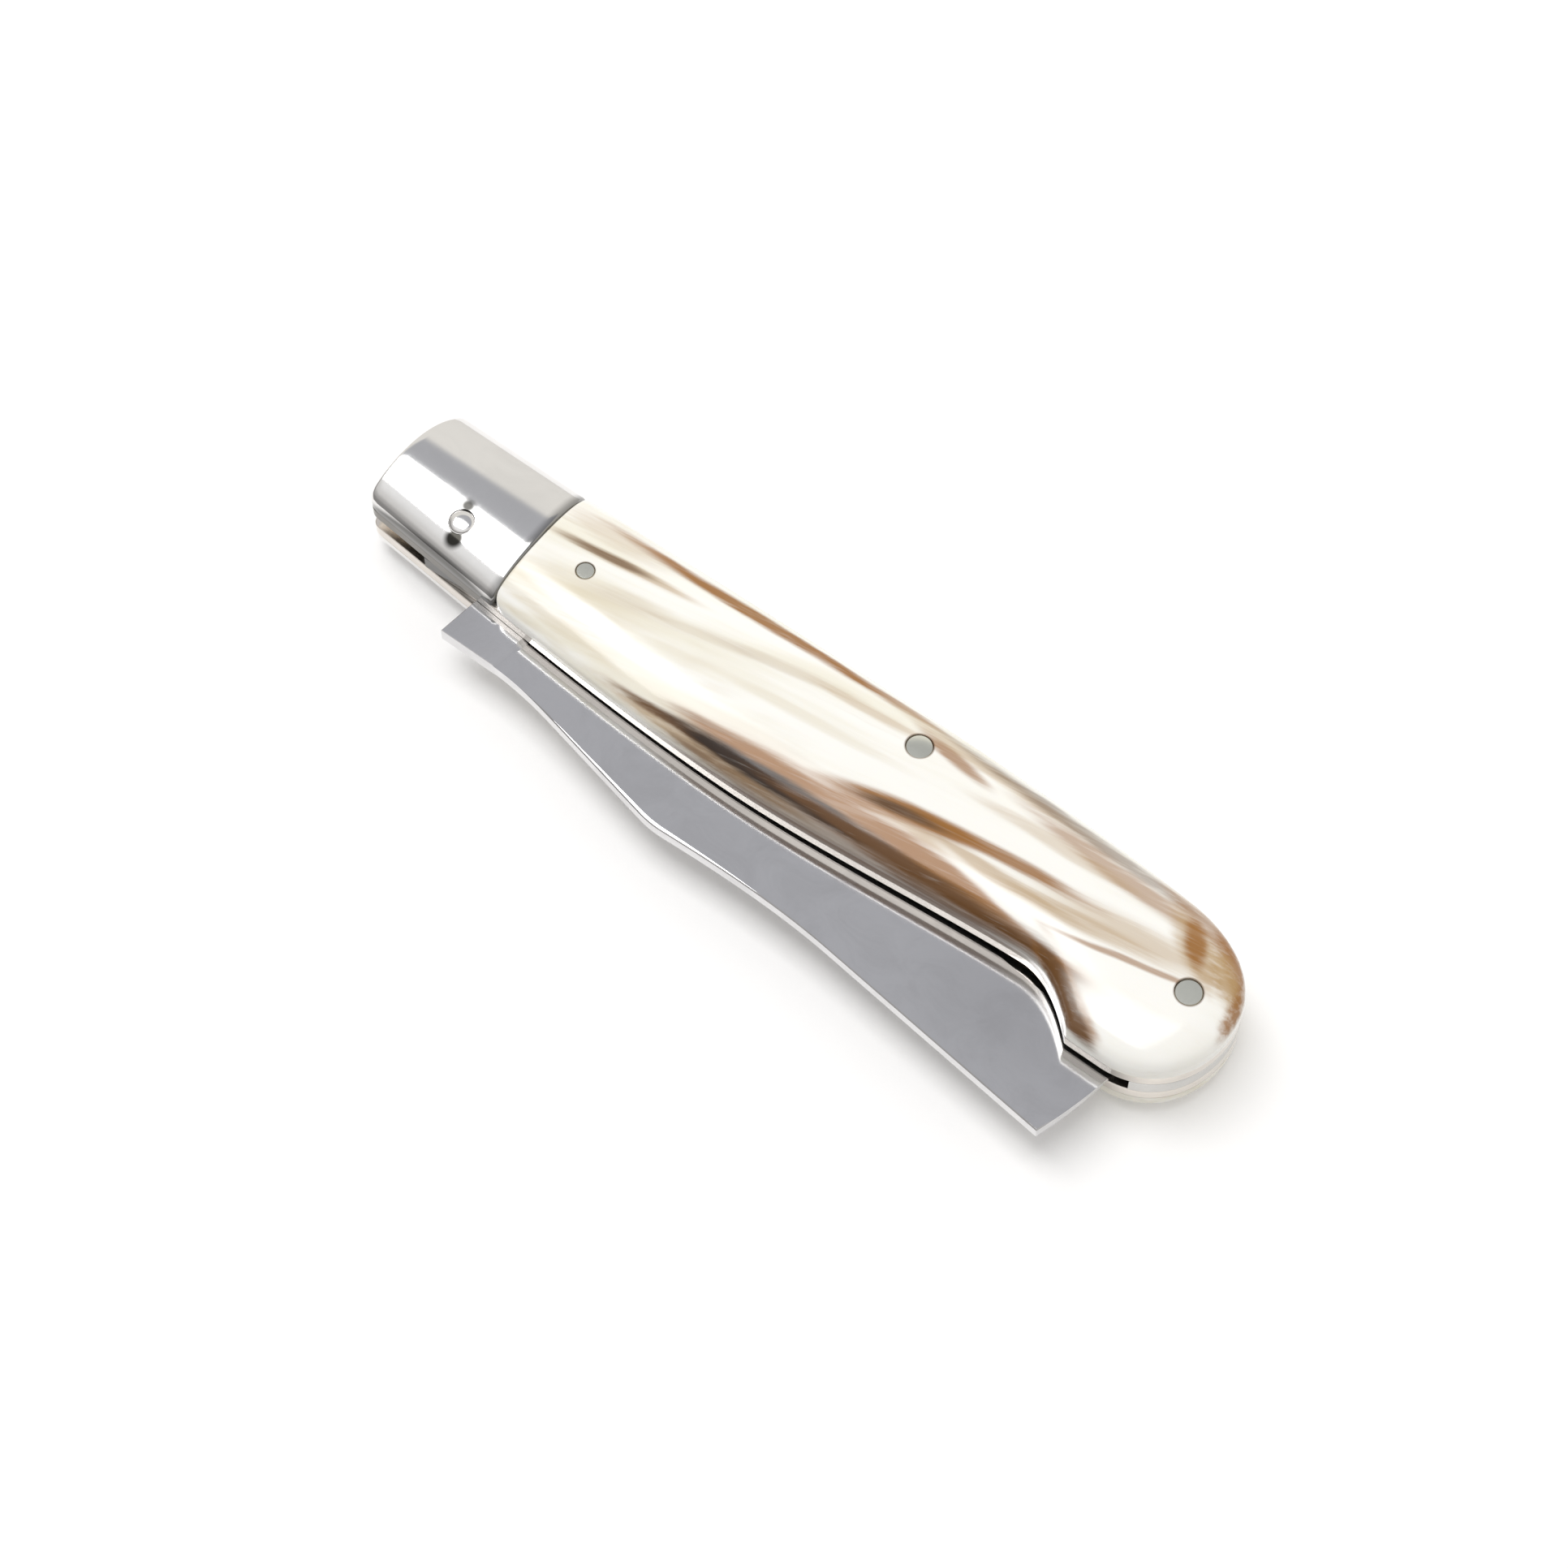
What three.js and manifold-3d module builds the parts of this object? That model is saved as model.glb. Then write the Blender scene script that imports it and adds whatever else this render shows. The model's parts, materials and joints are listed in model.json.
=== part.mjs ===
// Folding pocket knife of the slip-joint kind: a square-ended blade that folds between two steel
// liners, under horn scales and domed steel bolsters, and is held by a back spring.
// Millimetres, +Z up. The knife lies on its lower scale with the blade closed.
// Plan sizes are measured from the pivot: +X to the butt, +Y to the back, -Y to the belly,
// where the closed blade stands out. The finished group is then moved so that the middle of
// the underside of its bounding box is the origin. Headings are in degrees, 0 along +X.

import * as THREE from "three";
import { mergeVertices } from "three/addons/utils/BufferGeometryUtils.js";
import Module from "manifold-3d";

// Stack, from one crown to the other

const SCALE_THICKNESS = 3.8; // horn scale at its crown
const LINER_THICKNESS = 1.5;
const SPRING_THICKNESS = 2.0; // also the width of the blade slot
const BLADE_PLAY = 0.05; // running clearance of the blade to each liner
const BOLSTER_RELIEF = 0.25; // bolster crown below the scale crown
const RIM_WALL = 0.6; // upright wall of scale and bolster above the liner
const CROWN_SHARE = 0.33; // half width of the flat crown for each unit of the handle's

// Blade, drawn closed

const BLADE_REACH = 94.3; // pivot to the inner corner of the square end
const END_RAKE = 2.8; // the end leans back by this much at the spine
const END_TURN = 7; // degrees by which the end bows, at each corner
const SPINE_AT_END = 18.5; // depth of the spine below the pivot
const HOLLOW_END = 62; // where the hollow behind the hump runs out
const SPINE_AT_HOLLOW_END = 15.1;
const HUMP_AT = 37.9;
const SPINE_AT_HUMP = 14.9;
const HUMP_RISE = 3; // degrees by which the spine turns back behind the hump
const HUMP_SOFTNESS = 1.7; // length of the curve that rounds the hump, on each side
const SLOPE_START = 21.3; // where the straight slope to the hump starts
const SPINE_AT_SLOPE = 11.3;
const HEEL_RUN = 12; // the spine is level from the shoulder to here
const SPINE_AT_HEEL = 10.1;
const SHOULDER_AT = 5.0; // shoulder that meets the end of the spring when the blade is open
const SHOULDER_RAKE = 0.75;
const EDGE_HEEL_AT = 13.5; // start of the cutting edge
const EDGE_AT_HEEL = 2.8; // height of the edge above the pivot
const EDGE_AT_END = -5.4;
const EDGE_HALF = 0.05; // half thickness of the honed edge
const BEVEL_WIDTH = 0.9;
const BEVEL_HALF = 0.2; // half thickness behind the honed bevel
const GRIND_WIDTH = 15.6; // edge to the line where the flat grind runs out
const PLUNGE_LENGTH = 5; // run-out of the grind at the heel

// Tang: a round boss with a flat each for the closed, half-open and open blade

const TANG_FLAT = 4.1;
const TANG_RADIUS = 4.75;
const KICK_AT = 8.2; // the kick keeps the edge off the spring
const KICK_HEIGHT = 0.4; // above the flat of the closed blade
const KICK_WIDTH = 1.6;

// Handle outline

const END_ROOM = 1.6; // from the end of the closed blade to the tail of the spring
const TAIL_LENGTH = 5.9; // tail of the spring at the butt
const BUTT_REACH = BLADE_REACH + END_ROOM + TAIL_LENGTH;
const BUTT_TOP = 1.0; // height of the butt's furthest point
const BUTT_TURN = 11.8; // length of the round part of the butt
const BACK_AT_BUTT = 11.15;
const CREST_AT = 57;
const BACK_AT_CREST = 12.4;
const BACK_AT_NOSE = 11.6;
const BELLY_AT_NOSE = 3.1;
const SWELL_AT = 41;
const SWELL_DEPTH = 6.8; // deepest place of the belly
const NOTCH_RUN = 9.1; // hook to the shallow place in front of it
const NOTCH_DEPTH = 4.1;
const HOOK_LENGTH = 13.7; // furthest point of the butt to the corner of the hook
const HOOK_FLAT = 4.4;
const HOOK_DEPTH = 8.9;
const NOSE_REACH = 11.05; // pivot to the front end of the bolster
const NOSE_RAKE = 1.75; // the front end leans back by this much at the back
const NOSE_CORNER = 1.6; // round corner of the front end at the belly
const JOINT_AT = 8.3; // pivot to the joint of bolster and scale
const JOINT_GAP = 0.08;
const SCALE_CORNER = 1.5; // the scale's corner is eased at the joint
const CROWN_LINE = 3.0; // the flat crown runs along this height above the pivot

// Headings of the outlines, in degrees, and how full their curves are

const TO_BUTT = 0;
const TO_NOSE = 180;
const TO_BELLY = -90;
const BACK_RISE = 1.2;
const BUTT_FALL = -5;
const HOOK_FACE = 135;
const NOTCH_SLOPE = 183;
const NOSE_SLOPE = 175;
const NOSE_BOW = 245;
const CHOIL_START = 187;
const CHOIL_END = 135;
const TAIL_SLOPE = -75;
const FULLNESS = 0.33;
const ROUND_FULLNESS = 0.41; // for a quarter turn

// Back spring

const NOSE_PLAY = 0.1; // nose of the spring to the corners of the tang
const STOP_PLAY = 0.15; // end of the spring to the shoulder of the open blade
const NOSE_ROUND = 6; // length over which the spring's outer corner is rounded down
const NOSE_LENGTH = 10; // pivot to the end of the spring's deep nose
const LEAF_DEPTH = 4.1; // depth of the springy leaf
const LEAF_START = 16;
const BOSS_WALL = 1.5; // steel below the middle rivet
const BOSS_RUN = 15; // length over which the leaf swells to the rivet
const TAIL_WALL = 2.6; // steel in front of the tail rivet
const TAIL_RUN = 9;

// Pins and rivets

const PIVOT_RADIUS = 1.5;
const PIVOT_PLAY = 0.04;
const PIVOT_DOME = 0.42;
const PIVOT_SINK = 0.2; // foot of the dome below the bolster's crown
const PIVOT_CROWN = 0.8; // the dome is flat over about this share of the pin's radius
const RIVET_RADIUS = 1.5;
const FRONT_RIVET_RADIUS = 1.05;
const RIVET_PLAY = 0.02;
const PIVOT = { x: 0, y: 0 };
const FRONT_RIVET = { x: 15.0, y: 3.1 };
const SPRING_RIVET = { x: 56.8, y: 7.9 };
const TAIL_RIVET = { x: BUTT_REACH - TAIL_LENGTH + 0.1, y: 1.6 };

// Fineness of the faceted surfaces

const CURVE_STEPS = 10;
const DOME_STEPS = 8;
const PIN_SIDES = 36;
const SPARE = 2; // cutting shapes run past what they cut by this much
const FAR = 60;
const WELD = 1e-4; // vertices closer than this are one

// Heights of the stack

const LINER_LOW = SCALE_THICKNESS;
const GAP_LOW = LINER_LOW + LINER_THICKNESS;
const GAP_HIGH = GAP_LOW + SPRING_THICKNESS;
const LINER_HIGH = GAP_HIGH + LINER_THICKNESS;
const STACK = LINER_HIGH + SCALE_THICKNESS;
const MIDDLE = STACK / 2;
const BLADE_HALF = SPRING_THICKNESS / 2 - BLADE_PLAY;

const wasm = await Module();
wasm.setup();

// Between three.js geometry and solids that can be joined and cut

function toSolid(geometry) {
  const bare = geometry.clone();
  bare.deleteAttribute("normal");
  bare.deleteAttribute("uv");
  const merged = mergeVertices(bare, WELD);
  return new wasm.Manifold(
    new wasm.Mesh({
      numProp: 3,
      vertProperties: new Float32Array(merged.getAttribute("position").array),
      triVerts: new Uint32Array(merged.index.array),
    }),
  );
}

function toGeometry(solid) {
  const mesh = solid.getMesh();
  const geometry = new THREE.BufferGeometry();
  const places = new THREE.BufferAttribute(new Float32Array(mesh.vertProperties), 3);
  geometry.setAttribute("position", places);
  geometry.setIndex(new THREE.BufferAttribute(new Uint32Array(mesh.triVerts), 1));
  geometry.computeVertexNormals();
  return geometry;
}

// Flat plate of a plan shape between two heights
function plate(shape, low, high) {
  const options = { depth: high - low, bevelEnabled: false, curveSegments: CURVE_STEPS };
  return toSolid(new THREE.ExtrudeGeometry(shape, options).translate(0, 0, low));
}

function upright(place, radius, low, high) {
  const geometry = new THREE.CylinderGeometry(radius, radius, high - low, PIN_SIDES);
  return toSolid(geometry.rotateX(Math.PI / 2).translate(place.x, place.y, (low + high) / 2));
}

// Closed solid through a pile of rings with equal numbers of points, from the lowest up
function loft(rings) {
  const count = rings[0].length;
  const positions = rings.flatMap((ring) => ring.flatMap((p) => [p.x, p.y, p.z]));
  const faces = [];
  for (let level = 0; level < rings.length - 1; level += 1) {
    for (let i = 0; i < count; i += 1) {
      const a = level * count + i;
      const b = level * count + ((i + 1) % count);
      faces.push(a, b, b + count, a, b + count, a + count);
    }
  }
  const flat = (ring) => ring.map((p) => new THREE.Vector2(p.x, p.y));
  const lid = (ring) => THREE.ShapeUtils.triangulateShape(flat(ring), []);
  const top = (rings.length - 1) * count;
  lid(rings[0]).forEach(([a, b, c]) => faces.push(a, c, b));
  lid(rings[rings.length - 1]).forEach(([a, b, c]) => faces.push(top + a, top + b, top + c));
  const geometry = new THREE.BufferGeometry();
  geometry.setAttribute("position", new THREE.Float32BufferAttribute(positions, 3));
  geometry.setIndex(faces);
  return toSolid(geometry);
}

// Curve on from the path's end to a point, leaving and arriving on given headings

function along(heading, distance) {
  const turn = THREE.MathUtils.degToRad(heading);
  return new THREE.Vector2(Math.cos(turn) * distance, Math.sin(turn) * distance);
}

function headingOf(x, y) {
  return THREE.MathUtils.radToDeg(Math.atan2(y, x));
}

function curve(path, x, y, leave, arrive, fullness = FULLNESS) {
  const from = path.currentPoint.clone();
  const to = new THREE.Vector2(x, y);
  const reach = from.distanceTo(to) * fullness;
  const out = along(leave, reach).add(from);
  const back = along(arrive, -reach).add(to);
  path.bezierCurveTo(out.x, out.y, back.x, back.y, x, y);
}

// Handle outline from the back at the front end, round the butt and along the belly.
// It runs on past the front end, which is cut to its own line.
function handleEdge() {
  const front = -NOSE_REACH - SPARE;
  const hookAt = BUTT_REACH - HOOK_LENGTH;
  const edge = new THREE.Path();
  edge.moveTo(front, BACK_AT_NOSE);
  edge.lineTo(JOINT_AT, BACK_AT_NOSE);
  curve(edge, CREST_AT, BACK_AT_CREST, BACK_RISE, TO_BUTT);
  curve(edge, BUTT_REACH - BUTT_TURN, BACK_AT_BUTT, TO_BUTT, BUTT_FALL);
  curve(edge, BUTT_REACH, BUTT_TOP, BUTT_FALL, TO_BELLY, ROUND_FULLNESS);
  curve(edge, hookAt + HOOK_FLAT, -HOOK_DEPTH, TO_BELLY, TO_NOSE, ROUND_FULLNESS);
  edge.lineTo(hookAt, -HOOK_DEPTH);
  curve(edge, hookAt - NOTCH_RUN, -NOTCH_DEPTH, HOOK_FACE, NOTCH_SLOPE);
  curve(edge, SWELL_AT, -SWELL_DEPTH, NOTCH_SLOPE, TO_NOSE);
  curve(edge, front, -BELLY_AT_NOSE, TO_NOSE, NOSE_SLOPE);
  return edge.getPoints(CURVE_STEPS);
}

// Height of the outline's belly at a distance from the pivot
function bellyAt(x) {
  const edge = handleEdge();
  const i = edge.findLastIndex((p) => p.x > x);
  const share = (x - edge[i].x) / (edge[i + 1].x - edge[i].x);
  return THREE.MathUtils.lerp(edge[i].y, edge[i + 1].y, share);
}

// Everything behind the front end, whose line bows a little and is rounded at the belly
function behindFrontEnd(low, high) {
  const corner = bellyAt(-NOSE_REACH + NOSE_CORNER);
  const shape = new THREE.Shape();
  shape.moveTo(FAR * 2, FAR);
  shape.lineTo(NOSE_RAKE - NOSE_REACH, FAR);
  shape.lineTo(NOSE_RAKE - NOSE_REACH, BACK_AT_NOSE);
  curve(shape, -NOSE_REACH, corner + NOSE_CORNER, NOSE_BOW, TO_BELLY);
  shape.quadraticCurveTo(-NOSE_REACH, corner, NOSE_CORNER - NOSE_REACH, corner);
  shape.lineTo(NOSE_CORNER - NOSE_REACH, -FAR);
  shape.lineTo(FAR * 2, -FAR);
  return plate(shape, low, high);
}

// Shaped body of the whole handle: upright round the liners, then a quarter of an ellipse
// from the rim to a flat crown on each side. The crown's outline is the rim's, drawn in
// towards the crown line.
function shapedBody(relief) {
  const rim = handleEdge().reverse();
  const turnAt = BUTT_REACH - BUTT_TURN;
  const drawnIn = (p) => new THREE.Vector2(
    Math.min(p.x, turnAt) + CROWN_SHARE * Math.max(p.x - turnAt, 0),
    CROWN_LINE + CROWN_SHARE * (p.y - CROWN_LINE),
  );
  const rimHeight = LINER_HIGH + RIM_WALL;
  const crownHeight = STACK - relief;
  const upper = [];
  for (let step = 0; step <= DOME_STEPS; step += 1) {
    const turn = ((step / DOME_STEPS) * Math.PI) / 2;
    const height = THREE.MathUtils.lerp(rimHeight, crownHeight, Math.sin(turn));
    const place = (p) => p.clone().lerp(drawnIn(p), 1 - Math.cos(turn));
    upper.push(rim.map(place).map((q) => new THREE.Vector3(q.x, q.y, height)));
  }
  const turnedOver = (ring) => ring.map((p) => new THREE.Vector3(p.x, p.y, STACK - p.z));
  return loft([...upper.map(turnedOver).reverse(), ...upper]);
}

// Scale: from the joint to the butt, with its corner at the belly eased
function makeScale(low, high) {
  const start = JOINT_AT + JOINT_GAP;
  const eased = start + SCALE_CORNER;
  const belly = bellyAt(eased);
  const shape = new THREE.Shape();
  shape.moveTo(FAR * 2, FAR);
  shape.lineTo(start, FAR);
  shape.lineTo(start, belly + SCALE_CORNER);
  shape.quadraticCurveTo(start, belly, eased, belly);
  shape.lineTo(eased, -FAR);
  shape.lineTo(FAR * 2, -FAR);
  return shapedBody(0)
    .intersect(plate(shape, low, high))
    .subtract(upright(FRONT_RIVET, FRONT_RIVET_RADIUS + RIVET_PLAY, low - SPARE, high))
    .subtract(upright(SPRING_RIVET, RIVET_RADIUS + RIVET_PLAY, low - SPARE, high))
    .subtract(upright(TAIL_RIVET, RIVET_RADIUS + RIVET_PLAY, low - SPARE, high));
}

function makeBolster(low, high) {
  const shape = new THREE.Shape();
  shape.moveTo(-FAR, -FAR);
  shape.lineTo(JOINT_AT, -FAR);
  shape.lineTo(JOINT_AT, FAR);
  shape.lineTo(-FAR, FAR);
  return shapedBody(BOLSTER_RELIEF)
    .intersect(plate(shape, low, high))
    .intersect(behindFrontEnd(low, high))
    .subtract(upright(PIVOT, PIVOT_RADIUS + RIVET_PLAY, low - SPARE, high));
}

function makeLiner(low, high) {
  const hole = (place, radius) => upright(place, radius + RIVET_PLAY, low - SPARE, high + SPARE);
  return plate(new THREE.Shape(handleEdge()), low, high)
    .intersect(behindFrontEnd(low - SPARE, high + SPARE))
    .subtract(hole(PIVOT, PIVOT_RADIUS))
    .subtract(hole(FRONT_RIVET, FRONT_RIVET_RADIUS))
    .subtract(hole(SPRING_RIVET, RIVET_RADIUS))
    .subtract(hole(TAIL_RIVET, RIVET_RADIUS));
}

// Blade outline from the shoulder along the spine, across the square end, back along the
// edge to the kick, and round the tang
function bladeShape() {
  const slope = headingOf(HUMP_AT - SLOPE_START, SPINE_AT_SLOPE - SPINE_AT_HUMP);
  const hump = new THREE.Vector2(HUMP_AT, -SPINE_AT_HUMP);
  const before = along(slope, -HUMP_SOFTNESS).add(hump);
  const behind = along(HUMP_RISE, HUMP_SOFTNESS).add(hump);
  const end = headingOf(END_RAKE, SPINE_AT_END + EDGE_AT_END);
  const spineEnd = BLADE_REACH - END_RAKE;
  const fall = headingOf(spineEnd - HOLLOW_END, SPINE_AT_HOLLOW_END - SPINE_AT_END);
  const half = Math.sqrt(TANG_RADIUS ** 2 - TANG_FLAT ** 2);
  const corner = Math.atan2(half, TANG_FLAT);
  const quarter = Math.PI / 2;
  const shape = new THREE.Shape();
  shape.moveTo(SHOULDER_AT + SHOULDER_RAKE, -TANG_FLAT);
  shape.lineTo(SHOULDER_AT, -SPINE_AT_HEEL);
  shape.lineTo(HEEL_RUN, -SPINE_AT_HEEL);
  curve(shape, SLOPE_START, -SPINE_AT_SLOPE, TO_BUTT, slope);
  shape.lineTo(before.x, before.y);
  shape.quadraticCurveTo(hump.x, hump.y, behind.x, behind.y);
  curve(shape, HOLLOW_END, -SPINE_AT_HOLLOW_END, HUMP_RISE, fall);
  shape.lineTo(spineEnd, -SPINE_AT_END);
  curve(shape, BLADE_REACH, EDGE_AT_END, end - END_TURN, end + END_TURN);
  shape.lineTo(EDGE_HEEL_AT, EDGE_AT_HEEL);
  curve(shape, KICK_AT + KICK_WIDTH / 2, TANG_FLAT, CHOIL_START, CHOIL_END);
  shape.lineTo(KICK_AT, TANG_FLAT + KICK_HEIGHT);
  shape.lineTo(KICK_AT - KICK_WIDTH / 2, TANG_FLAT);
  shape.lineTo(-half, TANG_FLAT);
  shape.absarc(0, 0, TANG_RADIUS, quarter + corner, 2 * quarter - corner, false);
  shape.lineTo(-TANG_FLAT, -half);
  shape.absarc(0, 0, TANG_RADIUS, 2 * quarter + corner, 3 * quarter - corner, false);
  return shape;
}

// What the flat grind and the honed bevel take off one side of the blade. The grind lies along
// the edge and runs out in a curve at the heel.
function grindCut(side) {
  const heel = new THREE.Vector3(EDGE_HEEL_AT, EDGE_AT_HEEL, MIDDLE);
  const onward = new THREE.Vector3(BLADE_REACH, EDGE_AT_END, MIDDLE).sub(heel);
  const length = onward.length() + END_RAKE + SPARE;
  onward.normalize();
  const up = new THREE.Vector3(0, 0, 1);
  const inwards = onward.clone().cross(up);
  const rise = (BLADE_HALF - BEVEL_HALF) / (GRIND_WIDTH - BEVEL_WIDTH);
  const deep = GRIND_WIDTH + SPINE_AT_END;
  const tall = 2 * (BLADE_HALF + SPARE);
  const section = new THREE.Shape();
  section.moveTo(SPARE, side * EDGE_HALF);
  section.lineTo(0, side * EDGE_HALF);
  section.lineTo(-BEVEL_WIDTH, side * BEVEL_HALF);
  section.lineTo(-deep, side * (BEVEL_HALF + rise * (deep - BEVEL_WIDTH)));
  section.lineTo(-deep, side * tall);
  section.lineTo(SPARE, side * tall);
  const ground = new THREE.ExtrudeGeometry(section, { depth: length, bevelEnabled: false });
  ground.applyMatrix4(new THREE.Matrix4().makeBasis(inwards.clone().negate(), up, onward));
  ground.translate(heel.x, heel.y, heel.z);
  const runOut = new THREE.Shape();
  runOut.moveTo(0, side * (tall + SPARE));
  runOut.lineTo(0, side * (BLADE_HALF + BLADE_PLAY));
  runOut.quadraticCurveTo(PLUNGE_LENGTH / 3, 0, PLUNGE_LENGTH, 0);
  runOut.lineTo(length + SPARE, 0);
  runOut.lineTo(length + SPARE, side * (tall + SPARE));
  const reach = 2 * SPARE;
  const options = { depth: deep + 2 * reach, bevelEnabled: false, curveSegments: CURVE_STEPS };
  const plunge = new THREE.ExtrudeGeometry(runOut, options).translate(0, 0, -reach);
  plunge.applyMatrix4(new THREE.Matrix4().makeBasis(onward, up, inwards));
  plunge.translate(heel.x, heel.y, heel.z);
  return toSolid(ground).intersect(toSolid(plunge));
}

function makeBlade() {
  return plate(bladeShape(), MIDDLE - BLADE_HALF, MIDDLE + BLADE_HALF)
    .subtract(grindCut(1))
    .subtract(grindCut(-1))
    .subtract(upright(PIVOT, PIVOT_RADIUS + PIVOT_PLAY, GAP_LOW - SPARE, GAP_HIGH + SPARE));
}

// Back spring: a deep nose over the tang, a springy leaf, a boss at the middle rivet, and a tail
// that fills the butt. Its outer edge is the handle's, so only the well of the blade is cut.
function makeSpring() {
  const lean = SHOULDER_RAKE / (SPINE_AT_HEEL - TANG_FLAT);
  const endAt = (y) => STOP_PLAY - SHOULDER_AT - lean * (SPINE_AT_HEEL - y);
  const noseFace = TANG_RADIUS + NOSE_PLAY;
  const leaf = BACK_AT_CREST - LEAF_DEPTH;
  const boss = SPRING_RIVET.y - RIVET_RADIUS - BOSS_WALL;
  const tailAt = BLADE_REACH + END_ROOM;
  const tailFront = TAIL_RIVET.x - RIVET_RADIUS - TAIL_WALL;
  const well = new THREE.Shape();
  well.moveTo(-FAR, -FAR);
  well.lineTo(-FAR, FAR);
  well.lineTo(endAt(BACK_AT_NOSE) + NOSE_ROUND, FAR);
  well.lineTo(endAt(BACK_AT_NOSE) + NOSE_ROUND, BACK_AT_NOSE);
  curve(well, endAt(SPINE_AT_HEEL), SPINE_AT_HEEL, TO_NOSE, TO_BELLY, ROUND_FULLNESS);
  well.lineTo(endAt(noseFace), noseFace);
  well.lineTo(NOSE_LENGTH, noseFace);
  curve(well, LEAF_START, leaf, TO_BUTT, TO_BUTT, ROUND_FULLNESS);
  well.lineTo(SPRING_RIVET.x - BOSS_RUN, leaf);
  curve(well, SPRING_RIVET.x, boss, TO_BUTT, TO_BUTT, ROUND_FULLNESS);
  curve(well, SPRING_RIVET.x + BOSS_RUN, leaf, TO_BUTT, TO_BUTT, ROUND_FULLNESS);
  well.lineTo(tailFront - TAIL_RUN, leaf);
  curve(well, tailFront, TAIL_RIVET.y, TO_BUTT, TAIL_SLOPE, ROUND_FULLNESS);
  curve(well, tailAt, EDGE_AT_END, TAIL_SLOPE, TO_BELLY);
  well.lineTo(tailAt, -FAR);
  const bore = RIVET_RADIUS + RIVET_PLAY;
  const hole = (place) => upright(place, bore, GAP_LOW - SPARE, GAP_HIGH + SPARE);
  return plate(new THREE.Shape(handleEdge()), GAP_LOW, GAP_HIGH)
    .subtract(plate(well, GAP_LOW - SPARE, GAP_HIGH + SPARE))
    .subtract(hole(SPRING_RIVET))
    .subtract(hole(TAIL_RIVET));
}

// Pivot pin with a low peened dome at each end
function makePivot() {
  const foot = MIDDLE - BOLSTER_RELIEF - PIVOT_SINK;
  const head = foot + PIVOT_DOME;
  const crown = PIVOT_RADIUS * PIVOT_CROWN;
  const profile = new THREE.Path();
  profile.moveTo(0, -head);
  profile.quadraticCurveTo(crown, -head, PIVOT_RADIUS, -foot);
  profile.lineTo(PIVOT_RADIUS, foot);
  profile.quadraticCurveTo(crown, head, 0, head);
  const turned = new THREE.LatheGeometry(profile.getPoints(CURVE_STEPS / 2), PIN_SIDES);
  return toSolid(turned.rotateX(Math.PI / 2).translate(PIVOT.x, PIVOT.y, MIDDLE));
}

// Rivet filed down with the handle, so that its ends follow the shaped body
function makeRivet(place, radius, low, high) {
  return upright(place, radius, low, high).intersect(shapedBody(0));
}

// The knife

const steel = (color, roughness) =>
  new THREE.MeshStandardMaterial({ color, roughness, metalness: 1 });
const bladeSteel = steel(0x9fa1a4, 0.28);
const linerSteel = steel(0xb9b6ae, 0.3);
const springSteel = steel(0xa9a7a0, 0.35);
const bolsterSteel = steel(0xc9c7c2, 0.12);
const rivetSteel = steel(0x9a9a88, 0.3);
const horn = new THREE.MeshStandardMaterial({ color: 0xe6d6ae, roughness: 0.25, metalness: 0 });

const knife = new THREE.Group();

function add(name, solid, material) {
  const mesh = new THREE.Mesh(toGeometry(solid), material);
  mesh.name = name;
  knife.add(mesh);
}

const above = STACK + SPARE;

add("blade", makeBlade(), bladeSteel);
add("back_spring", makeSpring(), springSteel);
add("top_liner", makeLiner(GAP_HIGH, LINER_HIGH), linerSteel);
add("bottom_liner", makeLiner(LINER_LOW, GAP_LOW), linerSteel);
add("top_bolster", makeBolster(LINER_HIGH, above), bolsterSteel);
add("bottom_bolster", makeBolster(-SPARE, LINER_LOW), bolsterSteel);
add("top_scale", makeScale(LINER_HIGH, above), horn);
add("bottom_scale", makeScale(-SPARE, LINER_LOW), horn);
add("pivot_pin", makePivot(), bolsterSteel);
add("top_front_rivet", makeRivet(FRONT_RIVET, FRONT_RIVET_RADIUS, GAP_HIGH, above), rivetSteel);
add("bottom_front_rivet", makeRivet(FRONT_RIVET, FRONT_RIVET_RADIUS, -SPARE, GAP_LOW), rivetSteel);
add("spring_rivet", makeRivet(SPRING_RIVET, RIVET_RADIUS, -SPARE, above), rivetSteel);
add("tail_rivet", makeRivet(TAIL_RIVET, RIVET_RADIUS, -SPARE, above), rivetSteel);

const box = new THREE.Box3().setFromObject(knife);
const middle = box.getCenter(new THREE.Vector3());
knife.position.set(-middle.x, -middle.y, -box.min.z);

export default knife;
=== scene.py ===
"""Folding pocket knife: a square-ended blade closed between two steel liners, under horn scales
and domed bolsters, with a back spring, a pivot pin and rivets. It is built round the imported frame.

Plan places are measured from the pivot: +X to the butt, +Y to the back, where the spring is,
-Y to the belly, and +Z up through the thickness. Headings of plan lines are in degrees, 0 to
the butt and 90 to the back.
"""

import json
import math
from bisect import bisect_right
from typing import NamedTuple

import bmesh
import bpy
from bpy.props import FloatProperty, FloatVectorProperty, PointerProperty
from bpy.types import Operator, Panel, PropertyGroup
from mathutils import Matrix, Vector
from mathutils.bvhtree import BVHTree
from mathutils.geometry import barycentric_transform, interpolate_bezier

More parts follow.
